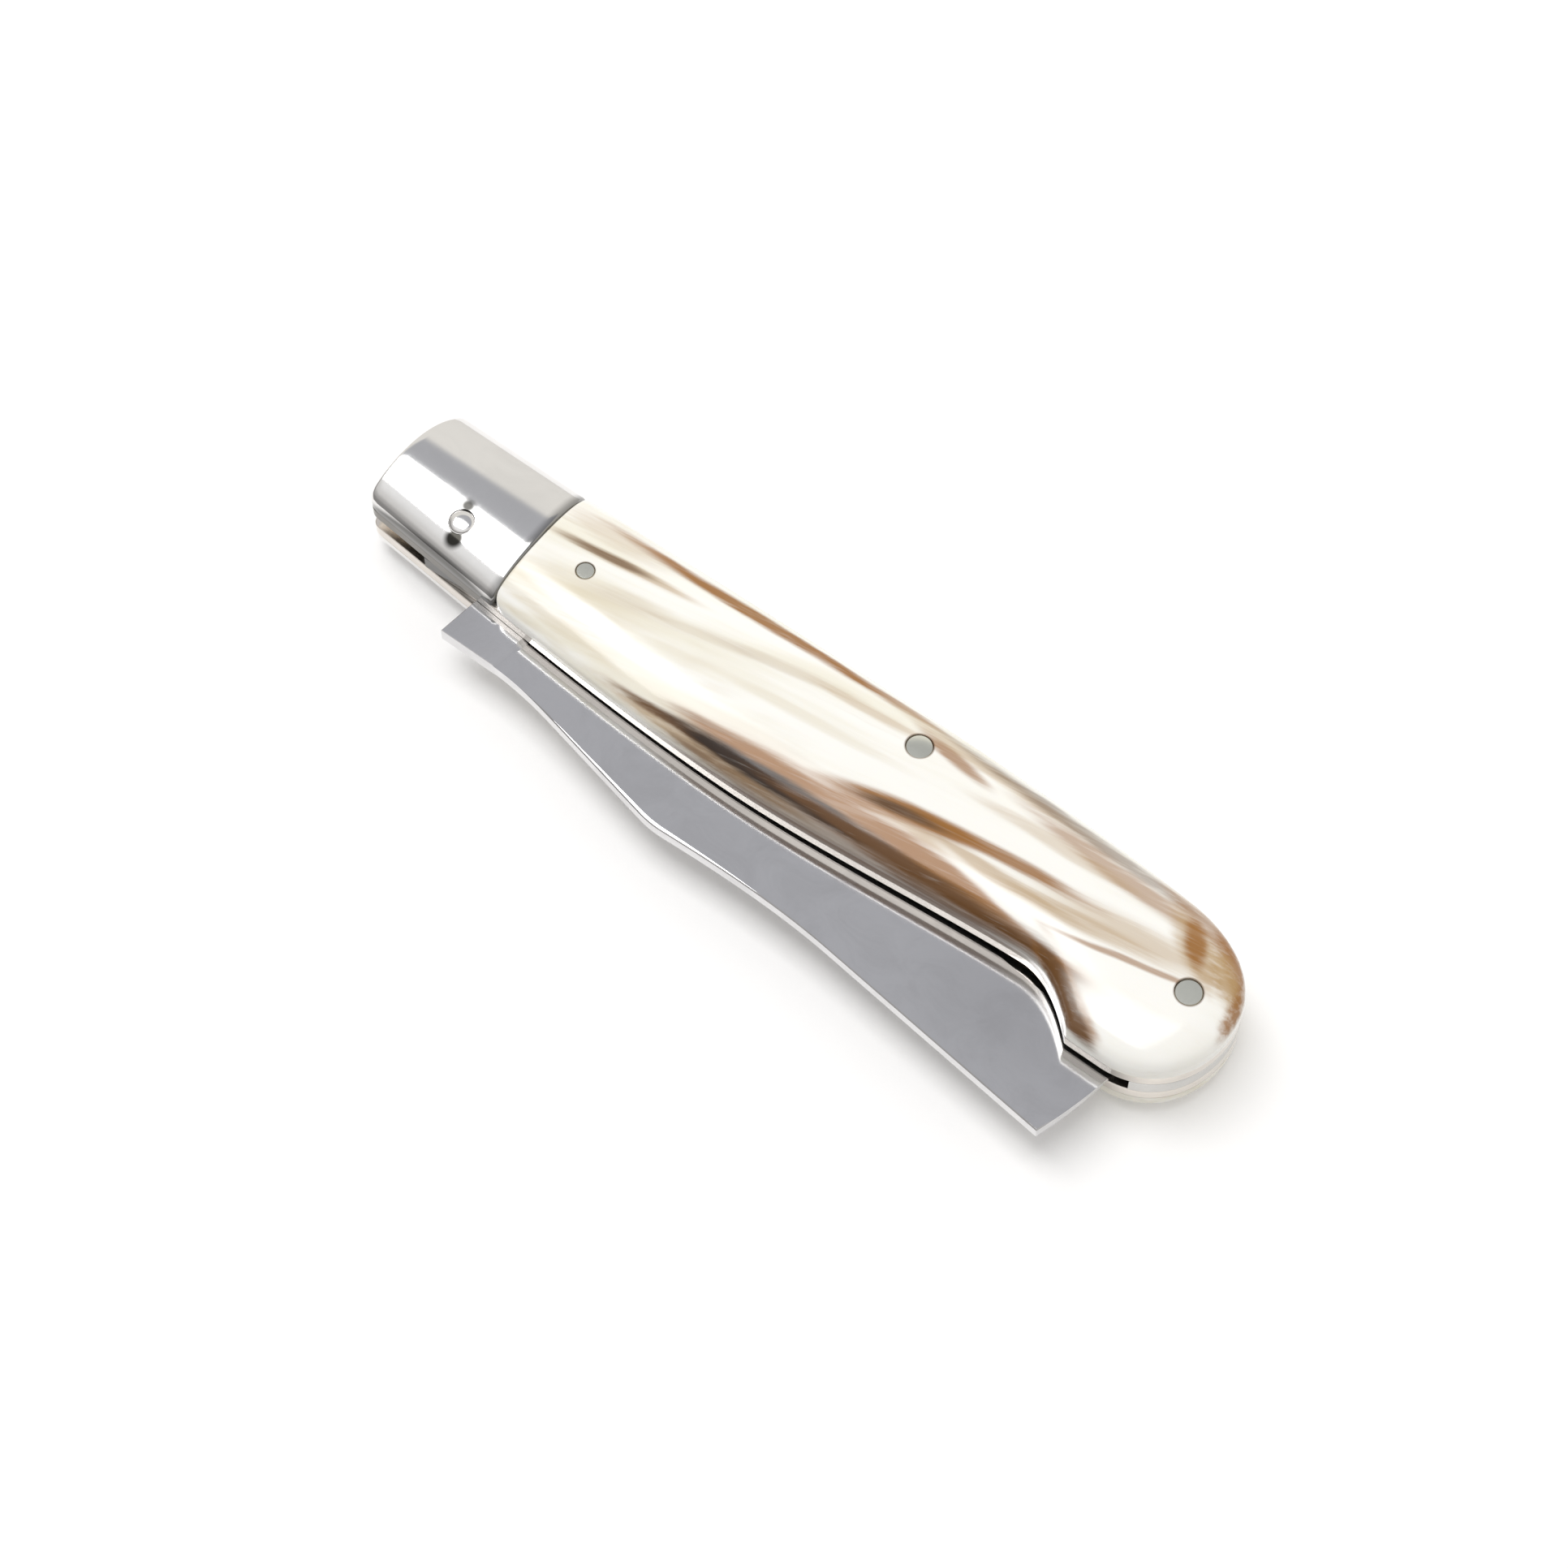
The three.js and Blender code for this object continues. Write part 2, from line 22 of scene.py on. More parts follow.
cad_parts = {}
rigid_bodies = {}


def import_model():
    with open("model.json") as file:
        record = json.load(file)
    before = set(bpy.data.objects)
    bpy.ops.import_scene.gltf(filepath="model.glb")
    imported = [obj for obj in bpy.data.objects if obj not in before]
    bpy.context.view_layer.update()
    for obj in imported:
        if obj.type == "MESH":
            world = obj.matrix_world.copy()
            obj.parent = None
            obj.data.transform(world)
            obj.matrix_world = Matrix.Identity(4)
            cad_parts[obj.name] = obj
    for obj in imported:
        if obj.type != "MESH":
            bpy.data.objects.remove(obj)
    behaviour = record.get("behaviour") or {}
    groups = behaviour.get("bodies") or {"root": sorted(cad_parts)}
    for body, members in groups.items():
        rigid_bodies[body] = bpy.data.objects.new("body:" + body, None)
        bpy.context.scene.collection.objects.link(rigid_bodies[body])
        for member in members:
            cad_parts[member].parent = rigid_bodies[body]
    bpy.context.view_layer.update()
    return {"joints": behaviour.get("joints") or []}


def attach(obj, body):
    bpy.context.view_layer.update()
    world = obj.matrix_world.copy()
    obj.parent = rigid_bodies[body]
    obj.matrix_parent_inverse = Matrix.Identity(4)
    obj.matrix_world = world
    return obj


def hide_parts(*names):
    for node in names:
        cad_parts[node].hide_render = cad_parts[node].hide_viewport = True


bl_info = {
    "name": "Folding Pocket Knife",
    "version": (1, 0, 0),
    "blender": (4, 5, 0),
    "location": "3D View > Sidebar > Knife",
    "description": "Builds a folding knife with horn scales and steel bolsters round its frame",
    "category": "Add Mesh",
}

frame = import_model()
HINGE = frame["joints"][0]
PIVOT = Vector(HINGE["pos_m"])
HANDLE_BODY = HINGE["parent"]
BLADE_BODY = HINGE["child"]
MM = 0.001
METRE = 1.0

# Headings of the plan lines and how full their curves are

TO_BUTT = 0
TO_BACK = 90
TO_NOSE = 180
TO_BELLY = -90
FULL_TURN = 360
BACK_RISE = 1.2
BUTT_FALL = -5
HOOK_FACE = 135
NOTCH_SLOPE = 183
NOSE_SLOPE = 175
NOSE_BOW = 245
CHOIL_START = 187
CHOIL_END = 135
TAIL_SLOPE = -75
FULLNESS = 0.33
ROUND_FULLNESS = 0.41

# Fineness of the meshes

CURVE_STEPS = 28
CORNER_STEPS = 8
ROUNDING_STEPS = 4
DOME_ROWS = 22
ROW_EASE = 1.25
STATION_GAP = 1.1 * MM
BOLSTER_STATION_GAP = STATION_GAP / 2
HOOK_STATION_GAP = 0.35 * MM
END_FIT_ROUNDS = 4
PIN_SIDES = 96
HEAD_STEPS = 16
FLOOR_TILES = 8
WELD = 0.0001 * MM
ON_SURFACE = 0.02 * MM
SHARP = math.radians(28)
STEEL_SHARP = math.radians(14)
BLADE_SHARP = math.radians(1.5)
CREASE = math.radians(50)

# Curves, edges and heads, as shares where they have no unit

PARABOLA = 2 / 3
MITRE_LIMIT = 0.5
CORNER_FADE = 4
PLUNGE_KNEE = 1 / 3
EDGE_PROFILE = ((1.0, 0.0), (0.6, 0.2), (0.2, 0.5), (0.0, 1.0))
CROWN_PROFILE = ((0.75, 0.45), (0.45, 0.8), (0.15, 1.0))
HEAD_FLATNESS = 0.7
HEAD_TIP = 0.01 * MM
BORE_GAP = 0.01 * MM
SPRING_RIVET_LEAN = 0.5
TAIL_RIVET_LEAN = 0.2
SPARE = 2 * MM
AT_PIVOT = Vector((0.0, 0.0))


# Properties


def level(name, description, millimetres, **limits):
    return FloatProperty(
        name=name,
        description=description,
        default=millimetres * MM,
        precision=5,
        unit="LENGTH",
        **limits,
    )


def length(name, description, millimetres):
    return level(name, description, millimetres, min=0.0)


def turn(name, description, degrees):
    return FloatProperty(
        name=name,
        description=description,
        default=math.radians(degrees),
        subtype="ANGLE",
        unit="ROTATION",
    )


def number(name, description, value):
    return FloatProperty(name=name, description=description, default=value, min=0.0)


def colour(name, description, red, green, blue):
    return FloatVectorProperty(
        name=name,
        description=description,
        default=(red, green, blue),
        min=0.0,
        max=1.0,
        size=3,
        subtype="COLOR",
    )


class HandleSizes(PropertyGroup):
    scale_thickness: length("Scale", "Thickness of a horn scale at its crown", 3.8)
    liner_thickness: length("Liner", "Thickness of a steel liner", 1.5)
    slot_width: length("Slot", "Width of the blade's slot and thickness of the spring", 2.0)
    rim_wall: length("Rim wall", "Upright wall of scale and bolster above the liner", 0.6)
    bolster_relief: length("Bolster relief", "Bolster crown below the scale crown", 0.25)
    ridge: level("Crown line", "Height above the pivot of the line the dome rises to", 3.0)
    bolster_ridge: level("Bolster crown line", "Height above the pivot of its crown line", 4.5)
    bolster_fullness: number("Bolster fullness", "Squareness of the bolster's section", 2.05)
    fullness_at_nose: number("Fullness at the joint", "Squareness of the scale's section", 2.35)
    fullness_at_butt: number("Fullness at the butt", "Squareness of the dome's section", 3.0)
    nose_reach: length("Nose", "Pivot to the front end of the bolster", 11.05)
    nose_rake: length("Nose rake", "How far the front end leans back at the back", 1.75)
    nose_corner: length("Nose corner", "Round corner of the front end at the belly", 1.6)
    nose_rounding: length("Nose edge", "Rounding of the bolster's front edge", 0.35)
    back_at_nose: level("Back at the nose", "Height of the back at the bolster", 11.6)
    belly_at_nose: level("Belly at the nose", "Depth of the belly at the bolster", 3.1)
    joint_at: length("Joint", "Pivot to the joint of bolster and scale", 8.3)
    joint_gap: length("Joint gap", "Gap between bolster and scale", 0.1)
    joint_rounding: length("Joint edge", "Rounding of the scale's edge at the joint", 0.35)
    bolster_rounding: length("Bolster edge", "Rounding of the bolster's edge at the joint", 0.5)
    scale_corner: length("Scale corner", "Eased corner of the scale at the joint", 1.5)
    crest_at: length("Crest", "Pivot to the highest place of the back", 57)
    back_at_crest: level("Crest height", "Height of the back at its crest", 12.4)
    back_at_butt: level("Back at the butt", "Height of the back where the butt starts", 11.15)
    butt_reach: length("Butt", "Pivot to the furthest point of the butt", 101.8)
    butt_turn: length("Butt round", "Length of the round part of the butt", 11.8)
    butt_top: level("Butt height", "Height of the butt's furthest point", 1.0)
    hook_length: length("Hook", "Furthest point of the butt to the corner of the hook", 13.7)
    hook_flat: length("Hook flat", "Level stretch below the hook", 4.4)
    hook_depth: length("Hook depth", "Depth of the hook below the pivot", 8.9)
    notch_run: length("Notch run", "Hook to the shallow place in front of it", 9.1)
    notch_depth: length("Notch depth", "Depth of the shallow place", 4.1)
    swell_at: length("Swell", "Pivot to the deepest place of the belly", 41)
    swell_depth: length("Swell depth", "Depth of the belly there", 6.8)
    liner_bevel: length("Liner bevel", "Broken edge of liners and spring", 0.1)


class BladeSizes(PropertyGroup):
    play: length("Play", "Clearance of the blade to each liner", 0.05)
    reach: length("Reach", "Pivot to the inner corner of the square end", 94.3)
    end_rake: length("End rake", "How far the end leans back at the spine", 2.8)
    end_turn: turn("End bow", "Turn of the end's line at each corner", 7)
    spine_at_end: level("Spine at the end", "Depth of the spine at the square end", 18.5)
    hollow_end: length("Hollow end", "Where the hollow behind the hump runs out", 62)
    spine_at_hollow: level("Spine at the hollow", "Depth of the spine there", 15.1)
    hump_at: length("Hump", "Pivot to the hump of the spine", 37.9)
    spine_at_hump: level("Spine at the hump", "Depth of the spine at the hump", 14.9)
    hump_rise: turn("Hump rise", "Turn of the spine back behind the hump", 3)
    hump_softness: length("Hump softness", "Length of the rounding on each side of the hump", 1.7)
    slope_start: length("Slope", "Where the straight slope to the hump starts", 21.3)
    spine_at_slope: level("Spine at the slope", "Depth of the spine there", 11.3)
    heel_run: length("Heel run", "End of the level heel of the spine", 12)
    spine_at_heel: level("Spine at the heel", "Depth of the spine at the heel", 10.1)
    shoulder_at: length("Shoulder", "Pivot to the shoulder of the spine", 5.0)
    shoulder_rake: length("Shoulder rake", "Lean of the shoulder", 0.75)
    edge_heel_at: length("Edge heel", "Start of the cutting edge", 13.5)
    edge_at_heel: level("Edge at the heel", "Height of the edge there", 2.8)
    edge_at_end: level("Edge at the end", "Height of the edge at the square end", -5.4)
    edge_half: length("Edge", "Half thickness of the honed edge", 0.05)
    bevel_width: length("Honed bevel", "Width of the honed bevel", 0.9)
    bevel_half: length("Behind the bevel", "Half thickness behind the honed bevel", 0.2)
    grind_width: length("Grind", "Edge to the line where the flat grind runs out", 15.6)
    plunge_length: length("Plunge", "Run-out of the grind at the heel", 5)
    tang_flat: length("Tang flat", "Pivot to each flat of the tang", 4.1)
    tang_radius: length("Tang corners", "Pivot to the round corners of the tang", 4.75)
    kick_at: length("Kick", "Pivot to the kick that keeps the edge off the spring", 8.2)
    kick_height: length("Kick height", "Kick above the tang's flat", 0.4)
    kick_width: length("Kick width", "Width of the kick", 1.6)
    broken_edge: length("Broken edge", "Small bevel round the blade's flanks", 0.07)
    spine_bevel: length("Spine bevel", "Width of the polished bevel along the spine", 0.7)
    spine_drop: length("Spine drop", "Depth of that bevel", 0.25)


class SpringSizes(PropertyGroup):
    nose_play: length("Nose play", "Nose of the spring to the tang's corners", 0.1)
    stop_play: length("Stop play", "End of the spring to the shoulder of the open blade", 0.15)
    nose_round: length("Nose round", "Length of the rounded outer corner", 6)
    nose_length: length("Nose length", "Pivot to the end of the deep nose", 10)
    leaf_depth: length("Leaf", "Depth of the springy leaf", 4.1)
    leaf_start: length("Leaf start", "Pivot to the start of the leaf", 16)
    boss_wall: length("Boss wall", "Steel below the middle rivet", 1.5)
    boss_run: length("Boss run", "Length over which the leaf swells to the rivet", 15)
    end_room: length("End room", "End of the closed blade to the tail of the spring", 1.6)
    tail_wall: length("Tail wall", "Steel in front of the tail rivet", 2.6)
    tail_run: length("Tail run", "Length over which the leaf deepens to the tail", 9)


class PinSizes(PropertyGroup):
    pivot_radius: length("Pivot radius", "Radius of the pivot pin", 1.5)
    pivot_play: length("Pivot play", "Clearance of the blade on the pin", 0.04)
    pivot_top: length("Pivot top", "Top of the peened head below the scale's crown", 0.34)
    pivot_dome: length("Pivot dome", "Rise of the peened head to its top", 0.55)
    pivot_slope: number("Pivot slope", "Lean of the peened heads, as rise by run", 0.08)
    rivet_radius: length("Rivet radius", "Radius of the large rivets", 1.5)
    small_rivet_radius: length("Small rivet radius", "Radius of the front rivets", 1.05)
    front_at: length("Front rivets", "Pivot to the front rivets", 15.0)
    front_height: level("Front rivets height", "Height of the front rivets", 3.1)
    spring_at: length("Middle rivet", "Pivot to the rivet at the middle of the spring", 56.8)
    spring_height: level("Middle rivet height", "Height of that rivet", 7.9)
    tail_inset: length("Tail rivet", "Furthest point of the butt to the tail rivet", 5.8)
    tail_height: level("Tail rivet height", "Height of the tail rivet", 1.6)
    rivet_gap: length("Rivet gap", "Gap between a rivet and the horn", 0.05)
    rivet_crown: length("Rivet crown", "Rise of the middle rivet's filed head", 0.05)
    flat_crown: length("Flat crown", "Rise of the other rivets' filed heads", 0.012)
    rivet_chamfer: length("Rivet edge", "Broken edge of a rivet's head", 0.1)
    rivet_sink: length("Rivet sink", "Edge of a rivet's head below the horn", 0.03)


class KnifeColours(PropertyGroup):
    cream: colour("Cream", "Pale body of the horn", 0.80, 0.77, 0.67)
    # ivory also paints highlights: the softbox's reflection along the horn's belly shoulder
    ivory_and_highlight: colour("Ivory", "Whiter layers of the horn", 0.88, 0.87, 0.83)
    straw: colour("Straw", "Yellower layers of the horn", 0.62, 0.54, 0.38)
    smoke: colour("Smoke", "Greyish layers of the horn", 0.52, 0.43, 0.31)
    tan: colour("Tan", "Light brown streaks", 0.42, 0.27, 0.115)
    amber: colour("Amber", "Orange-brown streaks", 0.30, 0.132, 0.03)
    # umber also paints the shade along the horn's lower edge and the dark rings round its rivets
    umber_and_shade: colour("Umber", "Brown streaks", 0.12, 0.052, 0.014)
    dark: colour("Dark", "Core of the darkest streaks", 0.02, 0.009, 0.004)
    bolster: colour("Bolster steel", "Polished bolsters and pivot pin", 0.86, 0.85, 0.84)
    blade: colour("Blade steel", "Satin blade", 0.81, 0.803, 0.808)
    # painted shade: the dark tone of the shade and dark reflections painted on the steels
    painted_shade: colour("Soil", "Dark film in corners of the steel", 0.035, 0.034, 0.03)
    liner: colour("Liner steel", "Polished liner edges", 0.80, 0.75, 0.69)
    spring: colour("Spring steel", "Ground back spring", 0.66, 0.65, 0.63)
    rivet: colour("Rivet metal", "Filed rivets", 0.86, 0.86, 0.76)


class StudioSettings(PropertyGroup):
    floor_tone: colour("Floor", "Plain pale floor", 0.85, 0.845, 0.84)
    floor_glow: number("Floor glow", "Light that the pale floor gives of itself", 0.14)
    floor_size: length("Floor size", "Side of the floor", 16000)
    azimuth: turn("Azimuth", "Direction of the camera round the knife", 37.5)
    elevation: turn("Elevation", "Height of the camera above the table", 62)
    distance: length("Distance", "Camera to the point it looks at", 420)
    aim: FloatVectorProperty(
        name="Aim",
        description="Point the camera looks at",
        default=(1.356 * MM, 0.370 * MM, 8.0 * MM),
        size=3,
        subtype="XYZ",
        unit="LENGTH",
    )
    lens: number("Lens", "Focal length for a 36 mm sensor, in millimetres", 90.0)
    softbox_height: length("Softbox height", "Height of the softbox above the table", 1200)
    softbox_power: number("Softbox power", "Power of the softbox, in watts", 9.5)


# Plan lines


def along(heading, distance):
    turned = math.radians(heading)
    return Vector((math.cos(turned), math.sin(turned))) * distance


def heading_of(x, y):
    return math.degrees(math.atan2(y, x))


def lerp(start, end, part):
    return start + (end - start) * part


def smooth(value, low, high):
    part = min(max((value - low) / (high - low), 0.0), 1.0)
    return part * part * (3 - 2 * part)


def across(line, x):
    """Height at x of a line whose points go from the nose to the butt."""
    i = min(max(bisect_right(line, x, key=lambda p: p.x), 1), len(line) - 1)
    a, b = line[i - 1], line[i]
    return lerp(a.y, b.y, (x - a.x) / (b.x - a.x))


class PlanLine:
    """Line in the plan, drawn in straight and curved runs."""

    def __init__(self, x, y):
        self.points = [Vector((x, y))]

    def line(self, x, y):
        self.points.append(Vector((x, y)))

    def curve(self, x, y, leave, arrive, fullness=FULLNESS):
        start, end = self.points[-1], Vector((x, y))
        reach = (end - start).length * fullness
        near, far = start + along(leave, reach), end - along(arrive, reach)
        self.points += interpolate_bezier(start, near, far, end, CURVE_STEPS + 1)[1:]

    def corner(self, knee, end):
        """Rounds a corner whose sharp point is the knee."""
        start, knee, end = self.points[-1], Vector(knee), Vector(end)
        near, far = lerp(start, knee, PARABOLA), lerp(end, knee, PARABOLA)
        self.points += interpolate_bezier(start, near, far, end, CORNER_STEPS + 1)[1:]

    def arc(self, radius, start, end):
        """Arc about the pivot."""
        for step in range(CORNER_STEPS + 1):
            self.points.append(along(lerp(start, end, step / CORNER_STEPS), radius))


def handle_edge(sizes):
    """Handle outline from the back at the front end, round the butt and along the belly."""
    front = -sizes.nose_reach - SPARE
    hook_at = sizes.butt_reach - sizes.hook_length
    edge = PlanLine(front, sizes.back_at_nose)
    edge.line(sizes.joint_at, sizes.back_at_nose)
    edge.curve(sizes.crest_at, sizes.back_at_crest, BACK_RISE, TO_BUTT)
    edge.curve(sizes.butt_reach - sizes.butt_turn, sizes.back_at_butt, TO_BUTT, BUTT_FALL)
    edge.curve(sizes.butt_reach, sizes.butt_top, BUTT_FALL, TO_BELLY, ROUND_FULLNESS)
    edge.curve(
        hook_at + sizes.hook_flat, -sizes.hook_depth, TO_BELLY, TO_NOSE, ROUND_FULLNESS
    )
    edge.line(hook_at, -sizes.hook_depth)
    edge.curve(hook_at - sizes.notch_run, -sizes.notch_depth, HOOK_FACE, NOTCH_SLOPE)
    edge.curve(sizes.swell_at, -sizes.swell_depth, NOTCH_SLOPE, TO_NOSE)
    edge.curve(front, -sizes.belly_at_nose, TO_NOSE, NOSE_SLOPE)
    return edge.points


class HandleShape:
    """Outline of the handle and the domed outside that rises from it."""

    def __init__(self, sizes):
        self.sizes = sizes
        self.liner_low = sizes.scale_thickness
        self.gap_low = self.liner_low + sizes.liner_thickness
        self.gap_high = self.gap_low + sizes.slot_width
        self.liner_high = self.gap_high + sizes.liner_thickness
        self.stack = self.liner_high + sizes.scale_thickness
        self.turn_at = sizes.butt_reach - sizes.butt_turn
        self.edge = handle_edge(sizes)
        furthest = self.edge.index(max(self.edge, key=lambda p: p.x))
        self.back_line = self.edge[: furthest + 1]
        self.belly_line = self.edge[furthest:][::-1]
        self.nose_line = self.front_end()

    def back(self, x):
        return across(self.back_line, x)

    def belly(self, x):
        return across(self.belly_line, x)

    def front_end(self):
        """Line of the front end, from the belly up to the back."""
        sizes = self.sizes
        foot_x = sizes.nose_corner - sizes.nose_reach
        foot = self.belly(foot_x)
        line = PlanLine(sizes.nose_rake - sizes.nose_reach, sizes.back_at_nose)
        line.curve(-sizes.nose_reach, foot + sizes.nose_corner, NOSE_BOW, TO_BELLY)
        line.corner((-sizes.nose_reach, foot), (foot_x, foot))
        return line.points[::-1]

    def joint_line(self):
        """Line of the scale's end at the joint, from its eased corner up to the back."""
        sizes = self.sizes
        start = sizes.joint_at + sizes.joint_gap
        foot = self.belly(start + sizes.scale_corner)
        line = PlanLine(start, sizes.back_at_nose)
        line.line(start, foot + sizes.scale_corner)
        line.corner((start, foot), (start + sizes.scale_corner, foot))
        return line.points[::-1]

    def liner_outline(self):
        """Outline of the liners, whose front end is cut like the bolster's."""
        nose_x, belly_x = self.nose_line[-1].x, self.nose_line[0].x
        body = [p for p in self.back_line if p.x > nose_x]
        belly = [p for p in self.belly_line[-2::-1] if p.x > belly_x]
        return body + belly + self.nose_line

    def fullness(self, x):
        sizes = self.sizes
        if x <= sizes.joint_at:
            return sizes.bolster_fullness
        part = smooth(x, sizes.joint_at, self.turn_at)
        return lerp(sizes.fullness_at_nose, sizes.fullness_at_butt, part)

    def on_dome(self, foot, rim, row, crown, depth):
        """Point of the outside on the line from a rim point to its foot on the crown line.
        Row 0 is at the rim. The point is sunk by a depth, square to the surface."""
        fullness = self.fullness(foot.x)
        angle = math.pi / 2 * (row / DOME_ROWS) ** ROW_EASE
        part = max(math.cos(angle), 0.0) ** (2 / fullness)
        rise = math.sin(angle) ** (2 / fullness)
        low = self.liner_high + self.sizes.rim_wall
        reach = rim - foot
        slope = reach.normalized() * (part ** (fullness - 1) / reach.length)
        lift = rise ** (fullness - 1) / (crown - low)
        normal = Vector((slope.x, slope.y, lift)).normalized()
        place = foot + reach * part
        return Vector((place.x, place.y, lerp(low, crown, rise))) - normal * depth


def end_shift(line, y):
    """How far a cut end's line stands from its foremost point at a height."""
    foremost = min(p.x for p in line)
    if y <= line[0].y:
        return line[0].x - foremost
    for a, b in zip(line, line[1:]):
        if a.y <= y <= b.y and b.y > a.y:
            return lerp(a.x, b.x, (y - a.y) / (b.y - a.y)) - foremost
    return line[-1].x - foremost


# Meshes


def mirrored(points, shape):
    return [Vector((p.x, p.y, shape.stack - p.z)) for p in points]


def smoothed(mesh, sharp):
    mesh.shade_smooth()
    mesh.set_sharp_from_angle(angle=sharp)


def make_piece(name, points, faces, sharp=SHARP):
    """Mesh object with its faces turned outwards, in the frame's place."""
    mesh = bpy.data.meshes.new(name)
    shift = Vector((PIVOT.x, PIVOT.y, 0.0))
    mesh.from_pydata([p + shift for p in points], [], faces)
    work = bmesh.new()
    work.from_mesh(mesh)
    bmesh.ops.recalc_face_normals(work, faces=work.faces)
    work.to_mesh(mesh)
    work.free()
    smoothed(mesh, sharp)
    piece = bpy.data.objects.new(name, mesh)
    bpy.context.scene.collection.objects.link(piece)
    return piece


def discard(piece):
    mesh = piece.data
    bpy.data.objects.remove(piece)
    bpy.data.meshes.remove(mesh)


def combine(piece, tool, operation, sharp=SHARP):
    """Cuts or crosses the piece with a tool solid, which is used up."""
    cut = piece.modifiers.new("cut", "BOOLEAN")
    cut.object = tool
    cut.operation = operation
    cut.solver = "EXACT"
    bpy.context.view_layer.update()
    worked = piece.evaluated_get(bpy.context.evaluated_depsgraph_get())
    mesh = bpy.data.meshes.new_from_object(worked)
    old = piece.data
    piece.modifiers.remove(cut)
    piece.data = mesh
    mesh.name = piece.name
    bpy.data.meshes.remove(old)
    discard(tool)
    if len(mesh.polygons) == 0:
        raise RuntimeError(f"nothing is left of {piece.name}")
    smoothed(mesh, sharp)


def ringed(name, rings, sharp=SHARP):
    """Closed solid through rings of as many points each, with a face across both ends."""
    count = len(rings[0])
    points = [p for ring in rings for p in ring]
    faces = [list(range(count)), list(range(len(points) - count, len(points)))]
    for low in range(0, len(points) - count, count):
        for i in range(count):
            a, b = low + i, low + (i + 1) % count
            faces.append([a, b, b + count, a + count])
    return make_piece(name, points, faces, sharp)


def inset(outline, distances):
    """Outline moved inwards by each point's distance. It runs clockwise or anticlockwise."""
    count = len(outline)
    pairs = zip(outline, outline[1:] + outline[:1])
    side = math.copysign(1.0, sum(a.x * b.y - b.x * a.y for a, b in pairs))
    moved = []
    for i, point in enumerate(outline):
        before = (point - outline[i - 1]).normalized()
        after = (outline[(i + 1) % count] - point).normalized()
        across_before = Vector((-before.y, before.x))
        across_after = Vector((-after.y, after.x))
        mitre = (across_before + across_after).normalized()
        move = side * distances[i] / max(mitre.dot(across_before), MITRE_LIMIT)
        moved.append(point + mitre * move)
    return moved


def without_repeats(outline):
    """Leaves out points that repeat the one before."""
    pairs = zip(outline, outline[-1:] + outline[:-1])
    return [p for p, before in pairs if (p - before).length > WELD]


def plate(name, outline, low, high, bevel, sharp=SHARP):
    """Flat plate of a plan outline with bevelled edges. Bevel gives the width and the drop of
    the bevel at a point of the outline."""
    outline = without_repeats(outline)
    widths, drops = zip(*(bevel(p) for p in outline))
    upper, lower = [], []
    for width_share, drop_share in EDGE_PROFILE:
        line = inset(outline, [width * width_share for width in widths])
        falls = [drop * drop_share for drop in drops]
        upper.append([Vector((p.x, p.y, high - fall)) for p, fall in zip(line, falls)])
        lower.append([Vector((p.x, p.y, low + fall)) for p, fall in zip(line, falls)])
    return ringed(name, upper + lower[::-1], sharp)


def even(bevel):
    """A plate's bevel that is as wide as it is deep, and the same all round."""
    return lambda point: (bevel, bevel)


def circle(radius):
    return [along(FULL_TURN * side / PIN_SIDES, radius) for side in range(PIN_SIDES)]


def turned(name, profile, place):
    """Solid turned about an upright axis from a profile of radius and height."""
    rings = []
    for radius, height in profile:
        spots = [place + spot for spot in circle(radius)]
        rings.append([Vector((p.x, p.y, height)) for p in spots])
    return ringed(name, rings)


def drill(piece, place, radius, low, high, sharp=SHARP):
    tool = turned("bore", [(radius, low - SPARE), (radius, high + SPARE)], place)
    combine(piece, tool, "DIFFERENCE", sharp)


def prism(name, section, depth, across_to, up, onward, start):
    """Straight solid: a section drawn in the plane of two directions, carried onward."""
    near = [start + across_to * s[0] + up * s[1] for s in section]
    return ringed(name, [near, [p + onward * depth for p in near]])


# Domed outside of scales and bolsters


def quarter_round(radius):
    """Steps of a rounded end, from its foremost point: distance from it and sunk depth."""
    turns = [math.pi / 2 * step / ROUNDING_STEPS for step in range(ROUNDING_STEPS)]
    return [(radius * (1 - math.cos(t)), radius * (1 - math.sin(t))) for t in turns]


def stations(start, end, rounding, gap, end_rounding=0.0, hook_from=math.inf):
    """Places along the handle where the dome's section is drawn: distance and sunk depth.
    The ends are rounded over, and the places stand closer from the hook on."""
    spots = [(start + inward, depth) for inward, depth in quarter_round(rounding)]
    x = start + rounding
    last = end - end_rounding
    while x < last - gap / 2:
        spots.append((x, 0.0))
        x += HOOK_STATION_GAP if x > hook_from else gap
    spots.append((last, 0.0))
    if end_rounding > 0:
        spots += [(end - inward, depth) for inward, depth in quarter_round(end_rounding)[::-1]]
    return spots


def dome_row(shape, x, depth, crown, ridge, end_line, fade):
    """One section of the dome, from the back's rim over the crown to the belly's rim."""
    row_points = []
    for step in range(2 * DOME_ROWS + 1):
        behind = step <= DOME_ROWS
        row = step if behind else 2 * DOME_ROWS - step
        edge = shape.back if behind else shape.belly
        spot = x
        for _ in range(END_FIT_ROUNDS):
            foot, rim = Vector((spot, ridge)), Vector((spot, edge(spot)))
            point = shape.on_dome(foot, rim, row, crown, depth)
            spot = x + end_shift(end_line, point.y) * fade
        row_points.append(shape.on_dome(foot, rim, row, crown, depth))
    return row_points


